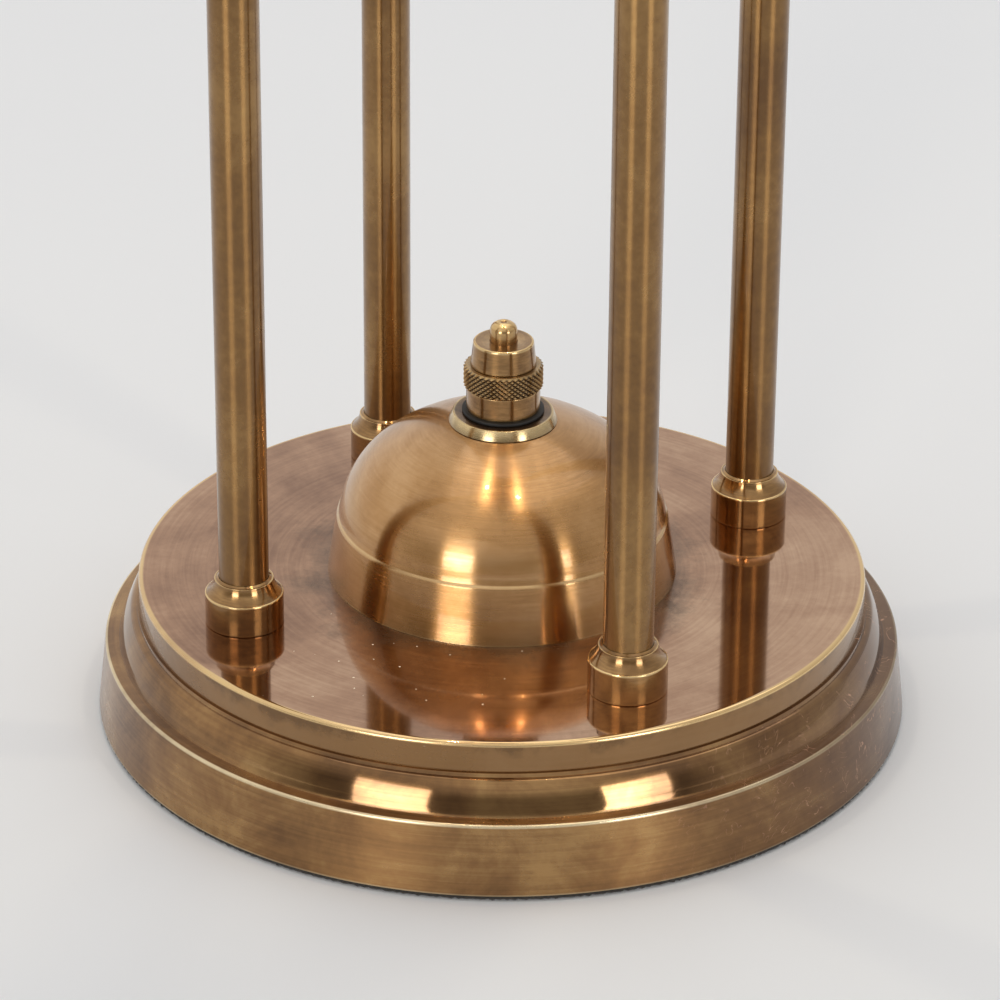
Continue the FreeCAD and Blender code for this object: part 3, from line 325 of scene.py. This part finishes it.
# each scratch follows a line of the 18 mm swirls, about 0.2 mm wide, and is broken up every 6 mm
swirl = add(tree, "ShaderNodeTexNoise",
            {"Vector": place, "Scale": every(18.18), "Detail": 2.0, "Distortion": 3.0}).outputs["Fac"]
near_line = add(tree, "ShaderNodeMath", {0: swirl, 1: 0.5, 2: 0.006}, operation="COMPARE").outputs["Value"]
breaks = add(tree, "ShaderNodeTexNoise", {"Vector": place, "Scale": every(6.25)}).outputs["Fac"]
broken = add(tree, "ShaderNodeMapRange", {"Value": breaks, "From Min": 0.5, "From Max": 0.56}).outputs["Result"]
scratch = add(tree, "ShaderNodeMath", {0: near_line, 1: broken}, operation="MULTIPLY").outputs["Value"]
scratch = add(tree, "ShaderNodeMath", {0: scratch, 1: right_side_mask}, operation="MULTIPLY").outputs["Value"]
over(skirt_brass, scratch, "d8a888", 0.45)


# ---- Foot, top tray ----
# The upper tier: an upright satin band, a rounded edge rubbed bright, and the flat plate that the columns and the
# dome stand on. The plate is polished in circles and grimy where cloths do not reach, round the dome.

PLATE_TOP = 54
# rolled plate, polished flat under a clear lacquer: pinkish tan in wide clouds, glossy enough to mirror the columns
tray_brass = aged_brass("aged_polished_brass_plate", ("8c654b", "ae8668", "cba787", "ecca90"),
                        rough=(0.2, 0.32), stretch=0.5, mark_depth=0.003, cloud_size=83.3, mirror=(53.3, 60),
                        cloud_share=0.72, coat=0.03)
tray = turned(
    "top_tray_spun",
    [
        (36, PLATE_TOP - 1.5), (132.7, PLATE_TOP - 1.5), (132.7, 42.7), (134.2, 42.7, 0.3), (134.2, 43.3, 0.0),
        (134.2, 52.3, 0.0), (134.2, PLATE_TOP, 1.0, 1.3), (132.2, PLATE_TOP, 0.0), (100, PLATE_TOP),
        (66, PLATE_TOP), (36, PLATE_TOP),
    ],
    steps=360,
)
fit(tray, "stand", "antique_brass_spun", tray_brass, "top_tray")

# grime where the polishing cloth does not reach, in a ring 24 mm wide against the dome, in 33 mm blots
tree = tray_brass.node_tree
place = add(tree, "ShaderNodeTexCoord").outputs["Object"]
flat = add(tree, "ShaderNodeVectorMath", {0: place, 1: (1.0, 1.0, 0.0)}, operation="MULTIPLY").outputs["Vector"]
reach = add(tree, "ShaderNodeVectorMath", {0: flat}, operation="LENGTH").outputs["Value"]
near_dome = add(tree, "ShaderNodeMapRange", {"Value": reach, "From Min": 88 * MM, "From Max": 64 * MM})
soil = add(tree, "ShaderNodeTexNoise",
           {"Vector": place, "Scale": every(33.3), "Detail": 8.0, "Roughness": 0.75}).outputs["Fac"]
thick = add(tree, "ShaderNodeMath", {0: near_dome.outputs["Result"], 1: 0.3, 2: soil},
            operation="MULTIPLY_ADD").outputs["Value"]
soiled = add(tree, "ShaderNodeMapRange", {"Value": thick, "From Min": 0.62, "From Max": 0.86, "To Max": 0.75})
over(tray_brass, soiled.outputs["Result"], "54402f", 0.4)
# a few grains of dust in front of the dome, 0.7 mm across and 6.7 mm apart at the closest
cells = add(tree, "ShaderNodeTexVoronoi", {"Vector": place, "Scale": every(6.667)})
grains = add(tree, "ShaderNodeMath", {0: cells.outputs["Distance"], 1: 0.05}, operation="LESS_THAN").outputs["Value"]
scatter = add(tree, "ShaderNodeVectorMath", {0: flat, 1: (-50 * MM, -70 * MM, 0)}, operation="DISTANCE")
dusty = add(tree, "ShaderNodeMapRange",
            {"Value": scatter.outputs["Value"], "From Min": 70 * MM, "From Max": 30 * MM}).outputs["Result"]
chance = add(tree, "ShaderNodeSeparateColor", {"Color": cells.outputs["Color"]}).outputs["Red"]
kept = add(tree, "ShaderNodeMath", {0: chance, 1: dusty}, operation="LESS_THAN").outputs["Value"]
dust = add(tree, "ShaderNodeMath", {0: grains, 1: kept}, operation="MULTIPLY").outputs["Value"]
over(tray_brass, dust, "fff2dc", 0.7)
# the upright band below is darker, with 22 mm patches of old lacquer along its upper edge
height = add(tree, "ShaderNodeSeparateXYZ", {"Vector": place}).outputs["Z"]
band = add(tree, "ShaderNodeMapRange",
           {"Value": height, "From Min": 52.9 * MM, "From Max": 52.4 * MM, "To Max": 0.85})
over(tray_brass, band.outputs["Result"], "8d6a3f")
stain = add(tree, "ShaderNodeTexNoise",
            {"Vector": place, "Scale": every(22.2), "Detail": 7.0, "Roughness": 0.7}).outputs["Fac"]
rise = add(tree, "ShaderNodeMapRange", {"Value": height, "From Min": 47 * MM, "From Max": 52 * MM, "To Max": 0.16})
stained = add(tree, "ShaderNodeMath", {0: stain, 1: rise.outputs["Result"]}, operation="ADD").outputs["Value"]
patch = add(tree, "ShaderNodeMapRange", {"Value": stained, "From Min": 0.6, "From Max": 0.76, "To Max": 0.5})
lower = add(tree, "ShaderNodeMath", {0: patch.outputs["Result"], 1: band.outputs["Result"]}, operation="MULTIPLY")
over(tray_brass, lower.outputs["Value"], "3f2c1b", 0.35)


# ---- Dome over the foot switch ----
# Spun brass: a leaning skirt 22 mm high, a crease where it was trimmed and burnished, then a flattened dome. Three
# lugs are soldered inside it; the screws from below the tray pull it down.

# spun and brushed round its axis: warm gold, with each light drawn out into an upright streak
dome_brass = aged_brass("aged_spun_brass_dome", ("a37846", "bd905c", "cfa574", "f2d8a4"), rough=(0.22, 0.3),
                        stretch=0.9, mark=1.11, mark_depth=0.002, cloud_size=55.5, cloud_share=0.7)
DOME_TOP = 115.1
dome = turned(
    "switch_dome_spun",
    [
        (63.2, PLATE_TOP), (64.4, PLATE_TOP, 0.8, 0.2), (64.3, 54.7, 0.0), (61.1, 75.2, 0.0), (60.9, 75.9, 0.3),
        (60.3, 76.4, 0.5), (60.1, 76.7, 0.1),
        # outside: a tight shoulder, then the flatter crown; inside, the same curves back, 1.2 mm lower
        ("swing", 23.21, 72.05, 49.5, 0.0), ("swing", 0, 36.8, 24.7, 0.0), (5.3, DOME_TOP), (5.3, DOME_TOP - 1.2),
        (11.8, DOME_TOP - 1.2), ("swing", 0, 36.8, -24.7, 0.0), ("swing", 23.21, 72.05, -49.9, 0.0), (58.9, 76.2),
        (59.8, 75.6),
    ],
    steps=288, crease=40,
)
fit(dome, "stand", "antique_brass_spun", dome_brass, "switch_dome")


# ---- Foot switch ----
# A turned stack on the dome: dished washer, rubber ring, lower barrel, diamond-knurled ring, tapered cap and the
# push button, with a dark gap round the button's foot.

WASHER_TOP, SEAL_TOP, BARREL_TOP, CAP_TOP = 117.6, 118.8, 127.6, 145.5
# bar turned in a lathe and polished: yellower and glossier than the spun sheet, pale along its worn edges
TURNED = ("7a5a36", "9a7548", "b48e5c", "f0d096")
turned_brass = aged_brass("aged_turned_brass_switch", TURNED, rough=(0.16, 0.28), mark=0.714, cloud_size=14.3)
# the washer is seldom polished: dark brown with a rubbed outer rim
flange_brass = aged_brass("aged_turned_brass_washer", ("442d1a", "5f4327", "805e38", "e6cc98"), rough=(0.2, 0.34),
                          mark=0.714, cloud_size=14.3)
flange = turned("switch_flange_washer", [(5.3, DOME_TOP), (10.9, DOME_TOP), (12.5, 115.35), (19.9, 113.85, 0.5, 0.25),
                                         (18.3, WASHER_TOP, 1.0, 0.3), (17.4, 117.5, 0.1), (15.2, WASHER_TOP, 0.0),
                                         (5.3, WASHER_TOP)], steps=192)
fit(flange, "stand", "antique_brass_turned", flange_brass, "switch_flange")

# moulded rubber: black, with a soft dull shine and a 2 mm bloom
rubber = moulded("black_rubber", "0b0b0b", "1e1d1c", 2, (0.45, 0.7), 0.1)
seal = turned("seal_ring_rubber", [(5.3, WASHER_TOP), (15, WASHER_TOP, 0, 0.35), (15, SEAL_TOP, 0, 0.35),
                                   (5.3, SEAL_TOP)], steps=128)
fit(seal, "stand", "black_rubber", rubber, "seal_ring")

barrel = turned("switch_barrel", [(5.1, SEAL_TOP), (13.5, SEAL_TOP, 0.4, 0.25), (13.5, 119.8), (13.5, 127, 0.0),
                                  (13.5, BARREL_TOP, 0.3, 0.2), (9, BARREL_TOP), (9, 121.5), (5.1, 121.5)], steps=160)
fit(barrel, "stand", "antique_brass_turned", turned_brass, "switch_collar")


def knurled(profile, radius, teeth, depth, rows):
    """A turned ring whose outer face, cut in rows of level bands, carries a diamond knurl of small pyramids."""
    shape = lathe(profile, steps=2 * teeth)
    wear = shape.verts.layers.float["wear"]
    low = set()
    for vertex in shape.verts:
        if abs(vertex.co.xy.length - radius * MM) > 1e-6:
            continue
        column = round(math.atan2(vertex.co.y, vertex.co.x) / (math.pi / teeth))
        row = round((vertex.co.z - rows[0] * MM) / ((rows[1] - rows[0]) * MM))
        vertex[wear] = 1.0
        if (column + row) % 2:
            vertex.co.xy *= 1 - depth / radius
            vertex[wear] = 0.0
            low.add(vertex)
    for face in shape.faces[:]:
        valley = [vertex for vertex in face.verts if vertex in low]
        if len(valley) == 2 and len(face.verts) == 4:
            bmesh.utils.face_split(face, valley[0], valley[1])
    return shape


# a real knurl this size is cut at about 1 mm pitch; this one has 40 teeth, 2.3 mm apart and 0.7 mm deep, so that they
# show, with old dark lacquer in the valleys and bright points
knurl_brass = aged_brass("aged_knurled_brass", ("2c1c0e", "3c2814", "5a3e20", "d9b47a"), rough=(0.2, 0.32),
                         mark=0.714, cloud_size=14.3, stretch=0.2)
KNURL_RADIUS, KNURL_TEETH, KNURL_DEPTH = 14.6, 40, 0.7
knurl_bands = [128.4 + 0.9 * number for number in range(9)]
ring_shape = knurled(
    [(9.5, BARREL_TOP), (13.5, BARREL_TOP, 0.6), *[(KNURL_RADIUS, height) for height in knurl_bands],
     (13.5, 136.3, 0.8), (9.5, 136.3)],
    KNURL_RADIUS, KNURL_TEETH, KNURL_DEPTH, knurl_bands,
)
fit(close_shape("knurled_ring_cut", ring_shape, 20), "stand", "antique_brass_turned", knurl_brass, "knurled_ring")

cap = turned("switch_cap_tapered", [(8.2, 129), (9.3, 129), (9.3, 136.4), (12, 136.4, 0.3, 0.2), (11.9, 137.2),
                                    (11.1, 144.4, 0.0), (11, CAP_TOP, 1.0, 0.5), (10, CAP_TOP, 0.0),
                                    (5, CAP_TOP, 0.2, 0.2), (5, 143), (8.2, 143)], steps=160)
fit(cap, "stand", "antique_brass_turned", turned_brass, "switch_cap")

# the button is browned round its foot and rubbed gold on its crown by shoes
BUTTON_FLANGE = 140.5
button_brass = aged_brass("aged_turned_brass_button", ("63432a", "8a6238", "aa7f4a", "e6c488"), rough=(0.2, 0.3),
                          mark=0.714, cloud_size=8.33)
button = turned(
    "push_button_turned",
    [(0, 114), (2.5, 114), (2.5, BUTTON_FLANGE), (7.6, BUTTON_FLANGE), (7.6, 142.7), (4.95, 142.7),
     (4.95, 150.4, 0.5, 0.6), (4.3, 151.7, 0.8, 0.5), (2.9, 152.7, 1.0, 0.5), (1.5, 153, 0.8, 0.3), (0.9, 152.6),
     (0, 152.5)],
    steps=96,
)
fit(button, "button", "antique_brass_turned", button_brass, "push_button")

# the spring under the button's flange: six turns of 0.9 mm plated wire, drawn at rest; on the real switch they close
# up as the button goes down
WIRE_RADIUS, COIL_RADIUS, COIL_TURNS, COIL_STEPS = 0.45, 4.6, 6, 240
BUSH_TOP = 124
coil_foot, coil_head = BUSH_TOP + WIRE_RADIUS + 0.05, BUTTON_FLANGE - WIRE_RADIUS - 0.05
coil = bmesh.new()
bmesh.ops.create_circle(coil, radius=WIRE_RADIUS * MM, segments=10)
bmesh.ops.rotate(coil, verts=coil.verts, cent=(0, 0, 0), matrix=Matrix.Rotation(math.radians(90), 3, "X"))
bmesh.ops.translate(coil, verts=coil.verts, vec=(COIL_RADIUS * MM, 0, coil_foot * MM))
bmesh.ops.spin(coil, geom=coil.verts[:] + coil.edges[:], cent=(0, 0, 0), axis=(0, 0, 1),
               dvec=(0, 0, (coil_head - coil_foot) * MM / COIL_STEPS), angle=COIL_TURNS * 2 * math.pi,
               steps=COIL_STEPS)
bmesh.ops.holes_fill(coil, edges=[edge for edge in coil.edges if edge.is_boundary], sides=0)
bmesh.ops.recalc_face_normals(coil, faces=coil.faces)
spring = close_shape("button_spring_wound", coil, 60)
fit(spring, "stand", "steel", zinc, "button_spring")
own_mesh(spring)


# ---- Columns and their collars ----
# Four drawn brass tubes of 18 mm with a satin lacquer, each between a turned collar on the tray and one under the
# canopy. A grub screw in each collar faces the axis of the foot.

COLUMN_CIRCLE, COLUMN_TURN = 103, 25.6
TUBE_RADIUS, CANOPY_BOTTOM = 9, 1000
# drawn tube, rubbed round in a lathe and lacquered satin: each tube shows soft upright stripes of dark and light
TUBE = ("765634", "8a673c", "a07c4c", "dcbd86")


def collar_profile(level, side):
    """Drum with a bevelled edge, a hollow polished shoulder, a thin lip and the groove against the tube."""
    return [
        (5.3, level), (14.2, level, 0.2, 0.45), (14.2, level + side * 0.9), (14.2, level + side * 11.2),
        (14.2, level + side * 12, 1.0, 0.3), (13.6, level + side * 12.1, 0.2),
        ("swing", 19.59, level + side * 18.82, -39.2 * side, 0.0), (10.7, level + side * 17.6, 0.8, 0.12),
        (10.0, level + side * 17.6, 0.0), (9.15, level + side * 18.2), (9.15, level + side * 3),
        (5.3, level + side * 3),
    ]


for name, quarter in (("back_right", 0), ("back_left", 90), ("front_left", 180), ("front_right", 270)):
    turn = math.radians(COLUMN_TURN + quarter)
    spot = (COLUMN_CIRCLE * math.cos(turn), COLUMN_CIRCLE * math.sin(turn))
    axis_point = (*spot, 0)
    tube_brass = aged_brass(f"aged_drawn_brass_tube_{name}", TUBE, at=axis_point, rough=(0.24, 0.34), mark=4.167,
                            mark_depth=0.001, stretch=0.9, cloud_size=91, cloud_share=0.72)
    tube = turned(f"column_{name}_tube", [(TUBE_RADIUS - 1, PLATE_TOP + 3), (TUBE_RADIUS, PLATE_TOP + 3),
                                          (TUBE_RADIUS, CANOPY_BOTTOM - 3), (TUBE_RADIUS - 1, CANOPY_BOTTOM - 3)],
                  steps=96, at=spot)
    fit(tube, "stand", "antique_brass_tube", tube_brass, f"column_{name}")
    collar_brass = aged_brass(f"aged_turned_brass_collar_{name}", TURNED, at=axis_point, rough=(0.16, 0.26),
                              mark=0.77, cloud_size=16.7, stretch=0.9, mark_depth=0.006)
    for kind, level, side in (("foot", PLATE_TOP, 1), ("top", CANOPY_BOTTOM, -1)):
        collar = turned(f"{kind}_collar_{name}_turned", collar_profile(level, side), steps=128, at=spot)
        fit(collar, "stand", "antique_brass_turned", collar_brass, f"{kind}_collar_{name}")


# ---- Cord gland ----
# A small turned bush through the back of the wall, held by a thin nut inside. It is polished, and its mouth is
# rounded so that the supply cord does not chafe.

GLAND_HEIGHT = 15
# the same turned and polished bar as the switch, with its marks round the bush
gland_brass = aged_brass("aged_turned_brass_gland", TURNED, at=(0, 0, GLAND_HEIGHT), axis="Y", mark=0.714,
                         cloud_size=14.3)
gland = turned("cord_gland_turned", [(3.6, -138), (5, -138), (5, -149.5), (7.5, -149.5, 0.3, 0.2),
                                     (7.5, -151.2, 1.0, 0.6), (3.6, -151.2, 1.0, 0.5)], steps=96, lay=GLAND_HEIGHT)
fit(gland, "stand", "antique_brass_turned", gland_brass, "cord_gland")


# ---- Canopy ----
# A thick brass disc on the top collars under a spun cover that repeats the foot's moulding, with turned rings
# where the guide sleeve passes through.

CANOPY_TOP = 1032
# spun sheet like the foot's, a little glossier, with wider clouds because nobody handles it
canopy_brass = aged_brass("aged_spun_brass_canopy", SPUN, rough=(0.18, 0.3), cloud_size=66.7, cloud_share=0.5)
cover = turned(
    "canopy_cover_spun",
    [
        (124.8, CANOPY_BOTTOM), (126, CANOPY_BOTTOM, 0.8, 0.4), (126, 1012, 1.0, 1.0), (121, 1012, 0.0),
        ("swing", 99.03, 1010.82, 71.19), (15.1, CANOPY_TOP), (15.1, CANOPY_TOP - 1.2), (105, CANOPY_TOP - 1.2),
        ("swing", 99.03, 1010.82, -71.19), (124.8, 1010.8),
    ],
    steps=256,
)
fit(cover, "stand", "antique_brass_spun", canopy_brass, "canopy_cover")
dress(canopy_brass, "canopy_plate")

# turned rings and plugs, polished brighter than the switch
stem_turned = aged_brass("aged_turned_brass_stem", TURNED, rough=(0.12, 0.24), mark=0.77, cloud_size=16.7)
lower_ring = turned("sleeve_collar_turned", [(15.1, 988), (16.6, 988, 1.0, 0.2), (21, 993, 0.6, 0.8),
                                             (21, CANOPY_BOTTOM, 0.4, 0.2), (15.1, CANOPY_BOTTOM)], steps=128)
fit(lower_ring, "stand", "antique_brass_turned", stem_turned, "sleeve_collar")
upper_ring = turned("neck_collar_turned", [(15.1, CANOPY_TOP), (21, CANOPY_TOP, 0.4, 0.2), (21, 1036, 1.0, 0.8),
                                           (17, 1041, 0.6, 0.4), (15.1, 1041)], steps=128)
fit(upper_ring, "stand", "antique_brass_turned", stem_turned, "neck_collar")


# ---- Guide sleeve and clamp ----
# A drawn tube under the canopy in which the stem slides, closed by a turned finial, and the knurled nut on top that
# grips the stem.

SLEEVE_BOTTOM, SLEEVE_TOP = 672, 1060
# the same satin drawn tube as the columns, with its clouds drawn smaller on the thinner tube
stem_tube_brass = aged_brass("aged_drawn_brass_stem", TUBE, rough=(0.2, 0.32), mark=3.846, stretch=0.8,
                             cloud_size=55.5)
sleeve = turned("guide_sleeve_tube", [(13, SLEEVE_BOTTOM), (15, SLEEVE_BOTTOM), (15, SLEEVE_TOP, 0.8, 0.3),
                                      (13, SLEEVE_TOP)], steps=128)
fit(sleeve, "stand", "antique_brass_tube", stem_tube_brass, "guide_sleeve")
finial = turned(
    "sleeve_finial_turned",
    [(0, 648), (1, 648), ("swing", 1, 658, 126.87, 0.2), (7, 666, 0.0), (16, 669, 1.0, 0.6),
     (16, SLEEVE_BOTTOM, 0.8, 0.3), (13, SLEEVE_BOTTOM), (13, 690), (0, 690)],
    steps=128,
)
fit(finial, "stand", "antique_brass_turned", stem_turned, "sleeve_finial")
# the nut's knurl has 52 teeth, 2.3 mm apart, coarser than a real one like the ring's
NUT_RADIUS, NUT_TEETH, NUT_DEPTH = 19, 52, 0.75
nut_bands = [1048.4 + 0.95 * number for number in range(17)]
nut_shape = knurled(
    [(15.3, 1046), (17.4, 1046, 0.8), *[(NUT_RADIUS, height) for height in nut_bands], (18.6, 1063.6, 0.6),
     (14.2, 1070, 1.0), (8.5, 1070), (8.5, 1060.5), (15.3, 1060.5)],
    NUT_RADIUS, NUT_TEETH, NUT_DEPTH, nut_bands,
)
nut_brass = aged_brass("aged_knurled_brass_nut", ("4a3219", "765429", "96713f", "d9b47a"), mark=0.714, cloud_size=14.3)
fit(close_shape("clamp_nut_knurled", nut_shape, 20), "clamp", "antique_brass_turned", nut_brass, "clamp_nut")


# ---- Stem and swivel ----
# A drawn tube with a turned plug on top, whose journal carries the arm's head. The head is a small block bored both
# ways, and a thumbscrew in its side grips the arm.

STEM_BOTTOM, STEM_TOP = 742, 1206
stem = turned("stem_tube_drawn", [(6.8, STEM_BOTTOM), (8, STEM_BOTTOM), (8, STEM_TOP), (6.8, STEM_TOP)], steps=96)
fit(stem, "stem", "antique_brass_tube", stem_tube_brass, "stem_tube")
post = turned("swivel_post_turned", [(0, 1186), (6.8, 1186), (6.8, STEM_TOP), (10.5, STEM_TOP, 0.8, 0.5),
                                     (10.5, 1213, 1.0, 0.4), (5, 1213), (5, 1229), (0, 1229)], steps=112)
fit(post, "stem", "antique_brass_turned", stem_turned, "swivel_post")
dress(stem_turned, "arm_block")


# ---- Arm ----
# A level drawn tube through the head, closed at the back by a turned knob and in front by the plug whose journal
# the shade turns on.

ARM_HEIGHT = 1242
# turned ends and drawn tube as on the stem, with their marks round the arm
arm_turned = aged_brass("aged_turned_brass_arm", TURNED, at=(0, 0, ARM_HEIGHT), axis="Y", rough=(0.12, 0.24),
                        mark=0.77, cloud_size=16.7)
arm_drawn = aged_brass("aged_drawn_brass_arm", TUBE, at=(0, 0, ARM_HEIGHT), axis="Y", rough=(0.2, 0.32), mark=3.846,
                       stretch=0.8, cloud_size=55.5)
arm = turned("arm_tube_drawn", [(5, -42), (6, -42), (6, 185), (5, 185)], steps=96, lay=ARM_HEIGHT)
fit(arm, "arm", "antique_brass_tube", arm_drawn, "arm_tube")
knob = turned(
    "arm_knob_turned",
    [(0, -30), (5, -30), (5, -42), (7, -42, 0.6, 0.3), (7, -44, 0.8, 0.3), (5.5, -45.5), (9.5, -49, 0.6, 0.5),
     (9.5, -58), ("swing", -0.575, -50.6, -46.5, 0.8), (0, -63)],
    steps=112, lay=ARM_HEIGHT,
)
fit(knob, "arm", "antique_brass_turned", arm_turned, "arm_knob")
spigot = turned("arm_spigot_turned", [(2, 165), (5, 165), (5, 185), (8, 185, 0.8, 0.3), (8, 189, 0.8, 0.3), (4, 189),
                                      (4, 213), (2, 213)], steps=112, lay=ARM_HEIGHT)
fit(spigot, "arm", "antique_brass_turned", arm_turned, "arm_spigot")
dress(nut_brass, "swivel_screw")


# ---- Shade ----
# A trough of sheet brass with rolled rims, cooling slots over the lampholder and flat end plates, soldered together.
# It has a turned hub at the back, which turns on the arm's plug, and a small knob in front for tilting it.

# rolled sheet brushed round the trough: satin, in the foot's browns, with wide clouds
shade_brass = aged_brass("aged_brushed_brass_sheet", SPUN, at=(0, 0, ARM_HEIGHT - 16), axis="Y", rough=(0.2, 0.32),
                         cloud_size=66.7, cloud_share=0.5, mark_depth=0.006)
dress(shade_brass, "shade_body", "shade_back_plate", "shade_front_plate")
hub = turned("shade_hub_turned", [(4.05, 189.3), (11.5, 189.3, 0.8, 1.0), (11.5, 203.5, 0.4, 0.3), (4.05, 203.5)],
             steps=112, lay=ARM_HEIGHT)
fit(hub, "shade", "antique_brass_turned", arm_turned, "shade_hub")
front_knob = turned(
    "shade_knob_turned",
    [(0, 412), (2, 412), (2, 416.5), (7, 416.5, 0.6, 0.3), (7, 418.5, 0.8, 0.4), (4, 420.5), (4, 424.5),
     (8, 427.5, 0.8, 0.6), (8, 432, 0.6, 1.0), (5, 434.6, 0.8, 0.8), (1, 435), (0, 435)],
    steps=96, lay=ARM_HEIGHT,
)
fit(front_knob, "shade", "antique_brass_turned", arm_turned, "shade_knob")
dress(bakelite, "lampholder")

# soda glass frosted inside: milky white, with a soft sheen
frosted = moulded("frosted_bulb_glass", "e6e4da", "f4f3ee", 2.5, (0.3, 0.4), 0.02, Transmission_Weight=0.35, IOR=1.5)
bulb = turned("bulb_glass_tube", [(0, 240), (6.8, 240), (7.6, 244, 0, 0.8), (12.5, 256, 0, 3), (12.5, 317.5),
                                  ("swing", 0, 317.5, 85, 0.0), (0, 330)], steps=96, lay=ARM_HEIGHT - 22)
fit(bulb, "shade", "frosted_glass", frosted, "bulb_glass")
# nickel plate on the bulb's cap: grey and softly shiny
nickel = moulded("nickel_plated_brass_cap", "96968f", "c9cac6", 3, (0.28, 0.45), 0.05, Metallic=1.0)
dress(nickel, "bulb_cap")


# ---- Studio ----
# A pale seamless floor of painted board, a softbox either side of the camera, one overhead, a pale room and two
# small warm lamps above the dome.

# sprayed emulsion on board: matt and nearly white, with faint clouds two thirds of a metre across
floor_material = moulded("painted_studio_floor", "ebeef2", "eef1f4", 667, (0.6, 0.7), 0.01)
floor_shape = bmesh.new()
bmesh.ops.create_circle(floor_shape, cap_ends=True, radius=14, segments=96)
floor = close_shape("studio_floor", floor_shape)
floor.data.materials.append(floor_material)


def softbox(name, azimuth, elevation, distance, width, height, power, spread):
    """A rectangular area light aimed at the foot's dome, at an azimuth off the camera's side and an elevation."""
    light = bpy.data.lights.new(name, "AREA")
    light.shape = "RECTANGLE"
    light.size, light.size_y = width, height
    light.energy = power
    light.spread = math.radians(spread)
    lamp = bpy.data.objects.new(name, light)
    side, rise = math.radians(azimuth), math.radians(elevation)
    aim = Vector((math.sin(side) * math.cos(rise), -math.cos(side) * math.cos(rise), math.sin(rise)))
    lamp.location = Vector((0, 0, 80 * MM)) + aim * distance
    lamp.rotation_euler = aim.to_track_quat("Z", "Y").to_euler()
    lamp.visible_camera = False
    bpy.context.scene.collection.objects.link(lamp)
    return lamp


# flags keep the two low softboxes off the floor, which is lit from overhead and by the room
flagged = bpy.data.collections.new("flagged_floor")
flagged.objects.link(floor)
flagged.collection_objects[0].light_linking.link_state = "EXCLUDE"
for low_light in (softbox("left_softbox", -30, 9, 2.3, 0.84, 0.75, 1.7, 60),
                  softbox("right_softbox", 38, 9, 2.3, 0.76, 0.75, 1.45, 60)):
    low_light.light_linking.receiver_collection = flagged
softbox("overhead_softbox", 160, 72, 3.2, 3.0, 3.0, 20, 180)
for name, spot in (("warm_bulb_left", (-0.077, 0.009, 0.7)), ("warm_bulb_right", (0.080, -0.058, 0.7))):
    glow = bpy.data.lights.new(name, "POINT")
    glow.energy = 0.9
    glow.shadow_soft_size = 0.009
    glow.color = linear("ffefd2")[:3]
    bulb_light = bpy.data.objects.new(name, glow)
    bulb_light.location = spot
    bulb_light.visible_camera = False
    bpy.context.scene.collection.objects.link(bulb_light)

world = bpy.data.worlds.new("pale_studio")
bpy.context.scene.world = world
world.use_nodes = True
sky = world.node_tree
sky.nodes.clear()
look = add(sky, "ShaderNodeSeparateXYZ", {"Vector": add(sky, "ShaderNodeTexCoord").outputs["Generated"]})
# the room is pale; between the softboxes, low behind the camera, it is dark, and it is dimmer on the right
behind = add(sky, "ShaderNodeMapRange", {"Value": look.outputs["Y"], "From Min": -0.15, "From Max": -0.6})
low = add(sky, "ShaderNodeMapRange", {"Value": look.outputs["Z"], "From Min": 0.45, "From Max": 0.25})
dark = add(sky, "ShaderNodeMath", {0: behind.outputs["Result"], 1: low.outputs["Result"]}, operation="MULTIPLY")
right = add(sky, "ShaderNodeMapRange",
            {"Value": look.outputs["X"], "From Min": -0.2, "From Max": 0.9, "To Max": 0.45})
shade = add(sky, "ShaderNodeMath", {0: dark.outputs["Value"], 1: right.outputs["Result"]}, operation="MAXIMUM")
room = add(sky, "ShaderNodeValToRGB", {"Fac": shade.outputs["Value"]},
           stops=((0.0, "eae7e4"), (1.0, "86817c")))
room_light = add(sky, "ShaderNodeBackground", {"Color": room.outputs["Color"], "Strength": 1.0})
# behind the floor's edge the camera sees the floor's own far tone
seen = add(sky, "ShaderNodeBackground", {"Color": linear("d0cfcf"), "Strength": 1.0})
camera_ray = add(sky, "ShaderNodeLightPath").outputs["Is Camera Ray"]
mixed = add(sky, "ShaderNodeMixShader", {0: camera_ray, 1: room_light.outputs[0], 2: seen.outputs[0]})
add(sky, "ShaderNodeOutputWorld", {"Surface": mixed.outputs[0]})

lens_data = bpy.data.cameras.new("camera")
lens_data.sensor_width = 36.0
lens_data.lens = 174.36
lens_data.clip_end = 100.0
camera = bpy.data.objects.new("camera", lens_data)
bpy.context.scene.collection.objects.link(camera)
# a long lens, nearly head on, 26.7 degrees down and rolled by 0.4 of a degree
camera.matrix_world = (
    Matrix.Translation((-0.0009, -1.5897, 0.8807))
    @ Matrix.Rotation(math.radians(90 - 26.71), 4, "X")
    @ Matrix.Rotation(math.radians(0.42), 4, "Z")
)
bpy.context.scene.camera = camera
bpy.context.scene.view_settings.view_transform = "Standard"
